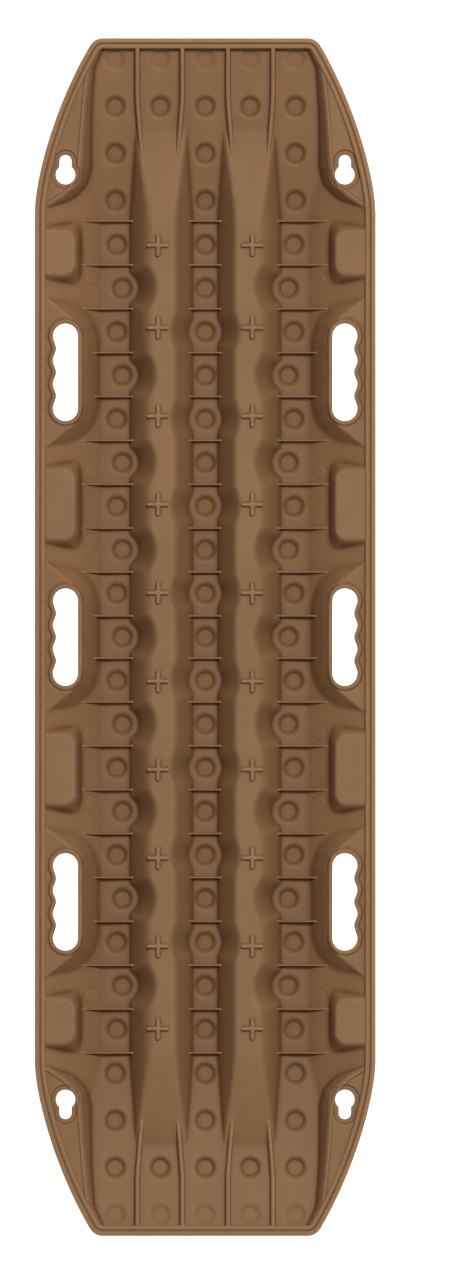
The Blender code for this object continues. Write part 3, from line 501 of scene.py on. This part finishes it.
def spaced(start, end, pitch):
    """Even steps from start to end, as near to the pitch as fits."""
    return np.linspace(start, end, int(round((end - start) / pitch)) + 1)


def plain_slab(name, x0, x1, y0, y1, pitch=(1.0, 1.25)):
    """A slab over a rectangle, its grid square to the board."""
    x, y = np.meshgrid(spaced(x0, x1, pitch[0]), spaced(y0, y1, pitch[1]))
    return slab(name, x, y)


def ray_length(centre, angles, outline):
    """How far a ray from the centre goes to reach an outline, for each angle."""
    points = np.asarray(outline, float) - centre
    after = np.roll(points, -1, axis=0)
    edge = after - points
    dx, dy = np.cos(angles)[:, None], np.sin(angles)[:, None]
    cross = dx * edge[:, 1] - dy * edge[:, 0]
    cross = np.where(np.abs(cross) < 1e-9, 1e-9, cross)
    reach = (points[:, 0] * edge[:, 1] - points[:, 1] * edge[:, 0]) / cross
    share = (points[:, 0] * dy - points[:, 1] * dx) / cross
    good = (reach > 0) & (share > -1e-6) & (share < 1 + 1e-6)
    return np.where(good, reach, 1e9).min(axis=1)


LEAST_ANGLE = 0.002  # between two rays, in radians


def holed_slab(name, centre, hole, border, count, rings):
    """A slab with a hole: rings of points that run from the hole's outline to the border's, on
    rays from the centre through the hole's points and through 'count' points spaced evenly
    along the border."""
    border = np.asarray(border, float)
    closed = np.concatenate([border, border[:1]])
    lengths = np.linalg.norm(np.diff(closed, axis=0), axis=1)
    along = np.concatenate([[0], np.cumsum(lengths)])
    even = np.linspace(0, along[-1], count, endpoint=False)
    places = np.sort(np.concatenate([even, along[:-1]]))
    rim_x = np.interp(places, along, closed[:, 0])
    rim_y = np.interp(places, along, closed[:, 1])
    hole = np.asarray(hole, float)
    target_x = np.concatenate([rim_x, hole[:, 0]]) - centre[0]
    target_y = np.concatenate([rim_y, hole[:, 1]]) - centre[1]
    is_corner = np.concatenate([np.isin(places, along[:-1]), np.zeros(len(hole), bool)])
    angles, first = np.unique(np.round(np.arctan2(target_y, target_x), 6), return_index=True)
    apart = np.diff(angles, prepend=angles[-1] - 2 * math.pi) > LEAST_ANGLE
    angles = angles[apart | is_corner[first]]
    near = ray_length(np.asarray(centre), angles, hole)
    far = ray_length(np.asarray(centre), angles, border)
    hole_x, hole_y = centre[0] + near * np.cos(angles), centre[1] + near * np.sin(angles)
    rim_x, rim_y = centre[0] + far * np.cos(angles), centre[1] + far * np.sin(angles)
    share = (np.linspace(0, 1, rings) ** 1.25)[:, None]
    x = hole_x + (rim_x - hole_x) * share
    y = hole_y + (rim_y - hole_y) * share
    return slab(name, x, y, wrap=True)


def turned_over(obj, name, x_sign, y_sign):
    """A copy of a piece mirrored in X, Y or both, its faces turned back out."""
    if x_sign > 0 and y_sign > 0:
        obj.name = name
        return obj
    mesh = obj.data.copy()
    points = np.empty(len(mesh.vertices) * 3, np.float32)
    mesh.vertices.foreach_get("co", points)
    points = points.reshape(-1, 3) * np.array([x_sign, y_sign, 1], np.float32)
    mesh.vertices.foreach_set("co", points.ravel())
    if x_sign * y_sign < 0:
        mesh.flip_normals()
    mesh.update()
    copy = bpy.data.objects.new(name, mesh)
    bpy.context.scene.collection.objects.link(copy)
    return copy


def tube(rings, marks):
    """A closed solid from rings of points that all have the same count, capped at both ends by
    a fan about each end ring's middle."""
    rings = np.asarray(rings, float)
    count, size = rings.shape[:2]
    ends = [rings[:1].mean(axis=1), rings[-1:].mean(axis=1)]
    points = np.concatenate([rings.reshape(-1, 3), *ends])
    sides = grid_faces(count, size, True)
    first = np.arange(size)
    after = np.roll(first, -1)
    last = first + (count - 1) * size
    low, high = count * size, count * size + 1
    caps = [np.stack([after, first, first * 0 + low], axis=1)]
    caps.append(np.stack([last, np.roll(last, -1), first * 0 + high], axis=1))
    caps = np.concatenate(caps)
    triangles = np.concatenate([sides[:, [0, 1, 2]], sides[:, [0, 2, 3]], caps])
    a, b, c = (points[triangles[:, k]] for k in (0, 1, 2))
    if np.einsum("ij,ij->i", a, np.cross(b, c)).sum() < 0:
        sides, caps = sides[:, ::-1], caps[:, ::-1]
    values = {label: np.append(value, [0, 0]) for label, value in marks.items()}
    return points, sides, caps, values


def solids(name, parts):
    """Several closed tubes as one piece, sharp where faces meet at more than the sharp angle."""
    start = 0
    points, sides, caps, marks = [], [], [], {}
    for part_points, part_sides, part_caps, part_marks in parts:
        points.append(part_points)
        sides.append(part_sides + start)
        caps.append(part_caps + start)
        for label, values in part_marks.items():
            marks.setdefault(label, []).append(values)
        start += len(part_points)
    groups = [np.concatenate(sides), np.concatenate(caps)]
    joined = {label: np.concatenate(values) for label, values in marks.items()}
    return new_object(name, np.concatenate(points), groups, SHARP_ANGLE, joined)


# ---------------------------------------------------------------- gussets, ribs, cleats, rails


FOOT_SPREAD = 1.04


def fin(path, normals, half, crest, foot, taper=0.75):
    """A thin upright fin along a path. Across it, the ring goes foot, side, rounded crest, side,
    foot; the sides lean in, from 'half' at the foot to taper x half at the crest."""
    across = np.array([-1.25, -1.0, -0.86, -0.5, 0.0, 0.5, 0.86, 1.0, 1.25])
    fall = np.array([1e3, 1.0, 0.45, 0.1, 0.0, 0.1, 0.45, 1.0, 1e3])
    rings, rub = [], []
    for (x, y), (nx, ny), h, top, low in zip(path, normals, half, crest, foot):
        z = np.maximum(top - fall, low)
        reach = across * h * np.where(np.abs(across) > 1.2, FOOT_SPREAD, taper)
        rings.append(np.stack([x + nx * reach, y + ny * reach, z], axis=1))
        rub.append(np.where(fall < 0.5, 1.0, 0.0))
    rub = np.concatenate(rub)
    return tube(rings, {"rub": rub, "hollow": rub * 0})


def gusset(y, x_start, x_end, first_rise, last_rise):
    """A cross wall between two slopes, its crest going straight from one height over the deck
    to another, its thickness growing by (1 - d / 4.5)^2 near each end."""
    count = 26
    x = np.linspace(x_start, x_end, count)
    from_end = np.minimum(x - x_start, x_end - x)
    half = 1.0 + 1.3 * np.clip(1 - from_end / 4.5, 0, 1) ** 2
    crest = DECK + np.linspace(first_rise, last_rise, count)
    foot = np.full(count, DECK - 2)
    return fin([(v, y) for v in x], [(0, 1)] * count, half, crest, foot)


def reach_at(y, start, end, level):
    """The first x from start towards end where the back stands above a level."""
    x = np.linspace(start, end, 400)
    above = surface(x, np.full(400, y)) > level
    return x[np.argmax(above)] if above.any() else end


FIRST_GUSSET, GUSSET_PITCH = 20.3, 42.17
GUSSET_ROWS = [FIRST_GUSSET + GUSSET_PITCH * k for k in range(10)]
GUSSET_ROWS = [-y for y in reversed(GUSSET_ROWS)] + GUSSET_ROWS
CENTRE_RISE, INNER_RISE, OUTER_RISE = 7.7, 7.0, 10.3


def centre_gussets():
    """The middle deck's cross walls, from one channel's wall to the other's."""
    parts = []
    for y in GUSSET_ROWS:
        reach = reach_at(y, 0.0, 40.0, DECK + CENTRE_RISE) + 1.0
        parts.append(gusset(y, -reach, reach, CENTRE_RISE, CENTRE_RISE))
    return solids("centre_gussets", parts)


def outer_gussets():
    """The right deck's cross walls, from the channel's wall to the side slope or a block."""
    parts = []
    for y in GUSSET_ROWS:
        inner = reach_at(y, 85.0, 50.0, DECK + INNER_RISE) - 1.0
        outer = reach_at(y, 88.0, 140.0, DECK + OUTER_RISE) + 1.0
        parts.append(gusset(y, inner, outer, INNER_RISE, OUTER_RISE))
    return solids("right_gussets", parts)


INNER_RIB_X, OUTER_RIB_X, RIB_LEAN = 21.9, 65.1, 4.6
RIB_TIP, RIB_BEND, RIB_LEAN_RUN = 460, 519, 58
RIB_HALF, RIB_RISE = 2.3, 10.4


def end_ribs():
    """Four fins on the ramp, straight from the end and then leaning in to their tips."""
    parts = []
    last = HALF_LENGTH - RAIL_WIDTH + 0.8
    straight = np.linspace(last, RIB_BEND - 2, 24)
    y = np.concatenate([straight, np.linspace(RIB_BEND - 4, RIB_TIP, 34)])
    share = np.clip((RIB_BEND - y) / RIB_LEAN_RUN, 0, 1)
    inner, outer = (INNER_RIB_X, RIB_LEAN), (OUTER_RIB_X, -RIB_LEAN)
    for x0, lean in (inner, outer, (-inner[0], -inner[1]), (-outer[0], -outer[1])):
        x = x0 + lean * share**1.15
        tip = np.clip((y - RIB_TIP) / 3, 0, 1)
        half = RIB_HALF * np.sqrt(np.clip(tip, 0.2, 1)) * (1 - 0.1 * share)
        ramp = DECK + (y - FLAT_HALF) * RAMP_SLOPE
        crest = np.minimum(ramp + RIB_RISE - 2.0 * (1 - tip) ** 2, RIM - 0.4)
        parts.append(fin(list(zip(x, y)), [(1, 0)] * len(y), half, crest, ramp - 2, 0.82))
    return solids("front_ribs", parts)


def cross_outline(arm, half, fillet):
    """A cross with rounded arm ends and fillets where the arms meet, counter-clockwise."""
    tip_round = half * 0.8
    quarter = [(arm, 0.0)]
    quarter += arc(arm - tip_round, half - tip_round, tip_round, 0, 90, 4)
    quarter += arc(half + fillet, half + fillet, fillet, 270, 180, 5)
    quarter += arc(half - tip_round, arm - tip_round, tip_round, 0, 90, 4)
    points = np.array(quarter)
    turned = [points]
    for _ in range(3):
        last = turned[-1]
        turned.append(np.stack([-last[:, 1], last[:, 0]], axis=1))
    return np.concatenate(turned)


def cleat(name):
    """A cross-shaped cleat on a channel's crown: one outline carried up through levels of
    (height, half width), leaning in."""
    low, high = node_box(name)
    middle, arm, top = (low + high) / 2, (high[0] - low[0]) / 2, high[2]
    levels = [(RIM - 1.5, 2.5), (RIM + 0.1, 2.4), (RIM + 0.8, 1.9), (top - 0.9, 1.6)]
    levels += [(top - 0.25, 1.3), (top, 0.9)]
    rings, rub = [], []
    for z, half in levels:
        outline = cross_outline(arm - 1.1 + (half if half < 1.1 else 1.1), half, 1.2)
        rings.append([(middle[0] + a, middle[1] + b, z) for a, b in outline])
        rub.append(np.full(len(outline), step(z, top - 1.2, top - 0.2)))
    rub = np.concatenate(rub)
    return solids(name + "_cross", [tube(rings, {"rub": rub, "hollow": 0 * rub})])


def rail_profile(web):
    """The rim's section as (distance in from the edge, height) pairs, clockwise from the outer
    lip: two rounded beads with a groove between them, and a web down to the panels."""
    z = RIM
    points = [(0.5, 38.0), (0.05, 38.6), (0.0, 41.0), (0.0, z - 2.6)]
    points += [(2.2 - 2.2 * math.cos(a), z - 2.6 + 2.2 * math.sin(a)) for a in (0.4, 0.8, 1.2)]
    points += [(2.2, z - 0.35), (3.4, z)]
    points += [(4.2, z - 0.15), (4.8, z - 0.6), (5.1, z - 1.2), (5.5, z - 1.25)]
    points += [(5.8, z - 0.75), (6.3, z - 0.3), (7.0, z - 0.1), (8.6, z - 0.1)]
    points += [(9.3, z - 0.25), (9.8, z - 0.65), (10.1, z - 1.3), (RAIL_WIDTH, z - 2.4)]
    points += [(RAIL_WIDTH, web), (RAIL_WIDTH - 2.5, web), (RAIL_WIDTH - 2.5, z - SKIN)]
    return points + [(SKIN, z - SKIN), (SKIN, 38.4), (SKIN - 0.4, 38.0)]


def rail(name, path, normals, web):
    """The rim's section carried along a path, laid off along its inward normals."""
    profile = np.array(rail_profile(web))
    path, normals = np.asarray(path, float), np.asarray(normals, float)
    xy = path[:, None, :] + normals[:, None, :] * profile[None, :, :1]
    z = np.broadcast_to(profile[None, :, 1:], xy.shape[:2] + (1,))
    rub = np.array([1.0 if RIM - 1.6 < h < RIM - 0.05 and d < 3 else 0.15 for d, h in profile])
    rub = np.tile(rub * (profile[:, 1] > RIM - 4), len(path))
    # Painted shade in the groove between the two beads.
    hollow = np.tile(np.array([1.0 if 4.7 < d < 5.7 else 0.0 for d, _ in profile]), len(path))
    return solids(name, [tube(np.concatenate([xy, z], axis=2), {"rub": rub, "hollow": hollow})])


# ---------------------------------------------------------------- materials


def add_socket(group, name, way, kind, value=None):
    """A named input or output of a node group."""
    socket = group.interface.new_socket(name, in_out=way, socket_type=kind)
    if value is not None:
        socket.default_value = value


def link(tree, source, target):
    tree.links.new(source, target)


def add(tree, kind, x, y, **values):
    """A node at a place in the tree, with its properties set."""
    node = tree.nodes.new(kind)
    node.location = (x, y)
    for key, value in values.items():
        setattr(node, key, value)
    return node


def math_node(tree, operation, x, y, first, second, clamp=False):
    """The result of a Math node whose two inputs are numbers or sockets."""
    node = add(tree, "ShaderNodeMath", x, y, operation=operation, use_clamp=clamp)
    for socket, value in zip(node.inputs, (first, second)):
        if isinstance(value, (int, float)):
            socket.default_value = value
        else:
            link(tree, value, socket)
    return node.outputs[0]


def noise(tree, coordinates, scale, detail, x, y, roughness=0.5):
    """A noise value with 'scale' features to the metre."""
    node = add(tree, "ShaderNodeTexNoise", x, y)
    node.inputs["Scale"].default_value = scale
    node.inputs["Detail"].default_value = detail
    node.inputs["Roughness"].default_value = roughness
    link(tree, coordinates, node.inputs["Vector"])
    return node.outputs["Fac"]


def grain_group():
    """Spark-eroded mould grain: two noises added, the finer at 1.1 mm and the coarser at 6 mm,
    with long faint flow streaks along the board."""
    group = bpy.data.node_groups.new("mould_grain", "ShaderNodeTree")
    add_socket(group, "Fine", "INPUT", "NodeSocketFloat", 1.0)
    add_socket(group, "Coarse", "INPUT", "NodeSocketFloat", 0.5)
    add_socket(group, "Height", "OUTPUT", "NodeSocketFloat")
    add_socket(group, "Streaks", "OUTPUT", "NodeSocketFloat")
    inputs = add(group, "NodeGroupInput", -600, 0)
    output = add(group, "NodeGroupOutput", 500, 0)
    place = add(group, "ShaderNodeTexCoord", -600, -200).outputs["Object"]
    fine = noise(group, place, 900, 3, -350, 150, 0.6)
    coarse = noise(group, place, 170, 2, -350, -50)
    stretch = add(group, "ShaderNodeMapping", -350, -300)
    stretch.inputs["Scale"].default_value = (60, 9, 60)
    link(group, place, stretch.inputs["Vector"])
    streaks = noise(group, stretch.outputs[0], 1, 4, -150, -300)
    fine_part = math_node(group, "MULTIPLY", 0, 150, fine, inputs.outputs["Fine"])
    coarse_part = math_node(group, "MULTIPLY", 0, -50, coarse, inputs.outputs["Coarse"])
    height = math_node(group, "ADD", 200, 50, fine_part, coarse_part)
    link(group, height, output.inputs["Height"])
    link(group, streaks, output.inputs["Streaks"])
    return group


def tone_group():
    """The nylon's colour: a base and a paler tone mixed by mottling and streaks, then paled
    along rubbed edges and darkened by painted shade in hollows."""
    group = bpy.data.node_groups.new("nylon_tone", "ShaderNodeTree")
    for name in ("Base", "Pale", "Rubbed", "Shaded"):
        add_socket(group, name, "INPUT", "NodeSocketColor", (0.5, 0.5, 0.5, 1))
    for name, value in (("Streaks", 0.5), ("Rub", 0.0), ("Hollow", 0.0), ("Rub Amount", 0.5),
                        ("Shade Amount", 1.0)):
        add_socket(group, name, "INPUT", "NodeSocketFloat", value)
    add_socket(group, "Colour", "OUTPUT", "NodeSocketColor")
    add_socket(group, "Wear", "OUTPUT", "NodeSocketFloat")
    inputs = add(group, "NodeGroupInput", -900, 0)
    output = add(group, "NodeGroupOutput", 700, 0)
    place = add(group, "ShaderNodeTexCoord", -900, -400).outputs["Object"]
    mottle = noise(group, place, 26, 5, -650, -300, 0.62)
    blotch = noise(group, place, 7, 3, -650, -500)
    speck = noise(group, place, 420, 2, -650, -700, 0.7)
    spread = math_node(group, "ADD", -450, -300, mottle, inputs.outputs["Streaks"])
    spread = math_node(group, "ADD", -300, -300, spread, blotch)
    spread = math_node(group, "MULTIPLY_ADD", -150, -300, spread, 2.2)
    spread.node.inputs[2].default_value = -2.8
    spread.node.use_clamp = True

    def mix(factor, first, second, x, y):
        node = add(group, "ShaderNodeMix", x, y, data_type="RGBA")
        link(group, factor, node.inputs[0])
        link(group, first, node.inputs[6])
        link(group, second, node.inputs[7])
        return node.outputs[2]

    body = mix(spread, inputs.outputs["Base"], inputs.outputs["Pale"], 0, 0)
    broken = math_node(group, "MULTIPLY_ADD", -450, -700, speck, 2.4)
    broken.node.inputs[2].default_value = -0.55
    broken.node.use_clamp = True
    wear = math_node(group, "MULTIPLY", -150, -600, inputs.outputs["Rub"], broken)
    wear = math_node(group, "MULTIPLY", 0, -600, wear, inputs.outputs["Rub Amount"], clamp=True)
    # Painted shade: the hollow mark, made uneven by the mottling, mixes in the darker Shaded
    # colour.
    uneven = math_node(group, "MULTIPLY_ADD", -300, -800, mottle, 0.5)
    uneven.node.inputs[2].default_value = 0.75
    shade_mix = math_node(group, "MULTIPLY", -150, -800, inputs.outputs["Hollow"], uneven)
    shade_mix = math_node(group, "MULTIPLY", 0, -800, shade_mix, inputs.outputs["Shade Amount"], clamp=True)
    shaded_body = mix(shade_mix, body, inputs.outputs["Shaded"], 250, 0)
    link(group, mix(wear, shaded_body, inputs.outputs["Rubbed"], 450, 0), output.inputs["Colour"])
    link(group, wear, output.inputs["Wear"])
    return group


GRAIN = grain_group()
TONE = tone_group()


def nylon(name, base, pale, roughness, grain, rub_amount):
    """Moulded nylon: tone and grain groups into one Principled shader."""
    material = bpy.data.materials.new(name)
    material.use_nodes = True
    tree = material.node_tree
    shader = tree.nodes["Principled BSDF"]
    grain_node = add(tree, "ShaderNodeGroup", -800, -200, node_tree=GRAIN)
    grain_node.inputs["Fine"].default_value = grain
    tone = add(tree, "ShaderNodeGroup", -500, 100, node_tree=TONE)
    for label, colour in (("Base", base), ("Pale", pale)):
        tone.inputs[label].default_value = (*colour, 1)
    tone.inputs["Rubbed"].default_value = (*[min(1, 1.35 * c + 0.03) for c in pale], 1)
    # The darker, more saturated colour that the painted shade mixes in.
    shaded_tone = [share * c for share, c in zip((0.62, 0.54, 0.46), base)]
    tone.inputs["Shaded"].default_value = (*shaded_tone, 1)
    tone.inputs["Rub Amount"].default_value = rub_amount
    for label, x, y in (("rub", -800, 200), ("hollow", -800, 50)):
        mark = add(tree, "ShaderNodeAttribute", x, y, attribute_name=label)
        link(tree, mark.outputs["Fac"], tone.inputs[label.title()])
    link(tree, grain_node.outputs["Streaks"], tone.inputs["Streaks"])
    link(tree, tone.outputs["Colour"], shader.inputs["Base Color"])
    gloss = math_node(tree, "MULTIPLY_ADD", -250, -100, grain_node.outputs["Streaks"], 0.16)
    gloss.node.inputs[2].default_value = roughness - 0.08
    rougher = math_node(tree, "MULTIPLY_ADD", -100, -100, tone.outputs["Wear"], 0.12)
    link(tree, gloss, rougher.node.inputs[2])
    link(tree, rougher, shader.inputs["Roughness"])
    bump = add(tree, "ShaderNodeBump", -250, -350)
    bump.inputs["Strength"].default_value = 0.35
    bump.inputs["Distance"].default_value = 0.00025
    link(tree, grain_node.outputs["Height"], bump.inputs["Height"])
    link(tree, bump.outputs[0], shader.inputs["Normal"])
    shader.inputs["Specular IOR Level"].default_value = 0.2
    return material


BROWN, PALE_BROWN = (0.262, 0.136, 0.061), (0.290, 0.152, 0.069)
PALEST_BROWN = (0.310, 0.166, 0.078)
FINISHES = {
    "tread_deck": nylon("tread_nylon", BROWN, PALE_BROWN, 0.58, 1.0, 0.35),
    "channel": nylon("channel_nylon", BROWN, PALE_BROWN, 0.55, 0.9, 0.40),
    "side_panel": nylon("panel_nylon", BROWN, PALE_BROWN, 0.58, 1.0, 0.60),
    # The rims get a paler copy of the same nylon: painted light on the board's highest edges.
    "edge_rail": nylon("rail_nylon_painted_lighter", PALE_BROWN, PALEST_BROWN, 0.52, 0.9, 0.50),
    "cleat": nylon("cleat_nylon", BROWN, PALE_BROWN, 0.52, 0.7, 0.70),
}


def place(obj, slot, *nodes):
    """Gives a piece its finish, its body and the frame nodes it stands for."""
    obj.data.materials.clear()
    obj.data.materials.append(FINISHES[slot])
    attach(obj, "root")
    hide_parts(*nodes)


# ---------------------------------------------------------------- the board

SIDES = (("right", 1), ("left", -1))
ENDS = (("front", 1), ("rear", -1))


def both_sides(obj, name, slot, node):
    """A piece and its mirror image; {} in the names takes the side."""
    for side, sign in reversed(SIDES):
        place(turned_over(obj, name.format(side), sign, 1), slot, node.format(side))


def both_ends(obj, name, slot, node):
    """A piece at the front and its mirror image at the rear; {} takes the end."""
    for end, sign in reversed(ENDS):
        place(turned_over(obj, name.format(end), 1, sign), slot, node.format(end))


def all_quarters(obj, name, slot, node):
    """A piece in all four quarters; {} and {} take the side and the end."""
    for side, x_sign in reversed(SIDES):
        for end, y_sign in reversed(ENDS):
            piece = turned_over(obj, name.format(side, end), x_sign, y_sign)
            place(piece, slot, node.format(side, end))


SIDE_WEB, CORNER_WEB, END_WEB = 43.0, 42.0, 41.0  # how low each rim's inner web reaches


def build_middle():
    """The decks and channels between the ramps, and the straight rims."""
    flat = FLAT_HALF
    deck = plain_slab("centre_deck", -CHANNEL_IN, CHANNEL_IN, -flat, flat)
    place(deck, "tread_deck", "centre_tread")
    place(centre_gussets(), "tread_deck", "centre_tread")
    deck = plain_slab("deck", CHANNEL_OUT, SIDE_START, -flat, flat)
    both_sides(deck, "{}_deck", "tread_deck", "tread_{}")
    both_sides(outer_gussets(), "{}_gussets", "tread_deck", "tread_{}")
    crown = plain_slab("channel", CHANNEL_IN, CHANNEL_OUT, -flat, flat, (0.95, 1.3))
    both_sides(crown, "{}_channel", "channel", "channel_{}")
    path = [(HALF_WIDTH, v) for v in spaced(-flat, flat, 10)]
    straight = rail("rail", path, [(-1, 0)] * len(path), SIDE_WEB)
    both_sides(straight, "{}_side_rail", "edge_rail", "side_rail_{}")


def build_sides():
    """The hand hole panels and the raised pads."""
    half = (PANEL_HIGH[1] - PANEL_LOW[1] + GAP) / 2
    for stem, y in (("middle", HANDLE_YS[0]), ("front", HANDLE_YS[1])):
        border = [(SIDE_START, y - half), (RAIL_INNER, y - half), (RAIL_INNER, y + half)]
        border.append((SIDE_START, y + half))
        hole = [(a, b + y) for a, b in HAND_HOLE]
        panel = holed_slab("panel", (HOLE_X, y), hole, border, count=360, rings=38)
        if stem == "middle":
            both_sides(panel, "{}_middle_handle", "side_panel", "handle_{}_middle")
        else:
            all_quarters(panel, "{}_{}_handle", "side_panel", "handle_{}_{}")
    for stem in ("long", "short"):
        low, high = node_box(f"{stem}_pad_right_front")
        y0, y1 = low[1] - GAP / 2, high[1] + GAP / 2
        panel = plain_slab("pad", SIDE_START, RAIL_INNER, y0, y1, (0.9, 0.9))
        all_quarters(panel, "{}_{}_" + stem + "_pad", "side_panel", stem + "_pad_{}_{}")


def ramp_end(x):
    """The far y of the ramp at each x: the end rim's inner side, then the corner rim's."""
    inner = INNER_EDGE[np.argsort(INNER_EDGE[:, 0])]
    limit = HALF_LENGTH - RAIL_WIDTH
    return np.where(np.abs(x) < END_STRAIGHT, limit, np.interp(np.abs(x), inner[:, 0], inner[:, 1]))


def build_ends():
    """The ramps with their ribs, the keyhole corners, and the rims round them."""
    rows = 134
    x = spaced(-RAMP_HALF_WIDTH, RAMP_HALF_WIDTH, 1.0)
    share = np.linspace(0, 1, rows)[:, None]
    y = FLAT_HALF + (ramp_end(x)[None, :] - FLAT_HALF) * share
    floor = slab("ramp", np.broadcast_to(x, y.shape).copy(), y)
    both_ends(floor, "{}_ramp", "tread_deck", "ramp_{}")
    both_ends(end_ribs(), "{}_ribs", "tread_deck", "ramp_{}")
    x0 = RAMP_HALF_WIDTH
    inner = [tuple(p) for p in INNER_EDGE if p[0] > x0 + 0.2]
    border = [(x0, FLAT_HALF)] + inner + [(x0, float(ramp_end(np.array([x0]))[0]))]
    centre = (KEYHOLE_X, KEYHOLE_Y + 5)
    corner = holed_slab("corner", centre, keyhole(), border, count=370, rings=80)
    all_quarters(corner, "{}_{}_corner", "side_panel", "keyhole_corner_{}_{}")
    curve = rail("curve", EDGE, EDGE_IN, CORNER_WEB)
    all_quarters(curve, "{}_{}_corner_rail", "edge_rail", "corner_rail_{}_{}")
    line = [(v, HALF_LENGTH) for v in spaced(END_STRAIGHT, -END_STRAIGHT, -8)]
    end = rail("end", line, [(0, -1)] * len(line), END_WEB)
    both_ends(end, "{}_end_rail", "edge_rail", "end_rail_{}")


def build_cleats():
    """The cross-shaped cleats along both channels."""
    for side, _ in SIDES:
        for number in range(1, CLEATS_A_SIDE + 1):
            name = f"cleat_{side}_{number}"
            place(cleat(name), "cleat", name)


# ---------------------------------------------------------------- floor, light, camera


def stage_floor():
    """A pale floor on the plane of the tooth tips, lit a little from itself."""
    mesh = bpy.data.meshes.new("floor")
    size = 6.0
    corners = [(-size, -size, 0), (size, -size, 0), (size, size, 0), (-size, size, 0)]
    mesh.from_pydata(corners, [], [(0, 1, 2, 3)])
    floor = bpy.data.objects.new("floor", mesh)
    bpy.context.scene.collection.objects.link(floor)
    material = bpy.data.materials.new("pale_floor")
    material.use_nodes = True
    shader = material.node_tree.nodes["Principled BSDF"]
    shader.inputs["Base Color"].default_value = (0.86, 0.86, 0.86, 1)
    shader.inputs["Roughness"].default_value = 0.9
    shader.inputs["Specular IOR Level"].default_value = 0.1
    shader.inputs["Emission Color"].default_value = (1, 1, 1, 1)
    shader.inputs["Emission Strength"].default_value = 1.0
    mesh.materials.append(material)


def soft_box(name, location, target, size, power):
    """A rectangular area light turned to its target."""
    light = bpy.data.lights.new(name, "AREA")
    light.shape = "RECTANGLE"
    light.size, light.size_y = size
    light.energy = power
    obj = bpy.data.objects.new(name, light)
    obj.location = location
    aim = Vector(target) - Vector(location)
    obj.rotation_euler = aim.to_track_quat("-Z", "Y").to_euler()
    bpy.context.scene.collection.objects.link(obj)


def studio():
    """One large key light high above and a plain white world."""
    soft_box("key", (1.9, 3.4, 9.8), (0, 0, 0), (2.2, 2.2), 745)
    world = bpy.data.worlds.new("studio")
    world.use_nodes = True
    background = world.node_tree.nodes["Background"]
    background.inputs["Color"].default_value = (1, 1, 1, 1)
    background.inputs["Strength"].default_value = 0.29
    bpy.context.scene.world = world
    bpy.context.scene.view_settings.view_transform = "Standard"
    bpy.context.scene.view_settings.look = "None"


def camera():
    """Straight above the back, a long lens 20 m up, the board a little left of the middle."""
    lens = bpy.data.cameras.new("camera")
    distance, field = 20.0, 1.221
    lens.sensor_width = 36
    lens.lens = 36 * distance / field
    lens.clip_end = 100
    obj = bpy.data.objects.new("camera", lens)
    obj.location = (0.0238, 0.001, distance + RIM * MM)
    bpy.context.scene.collection.objects.link(obj)
    bpy.context.scene.camera = obj


build_middle()
build_sides()
build_ends()
build_cleats()
stage_floor()
studio()
camera()
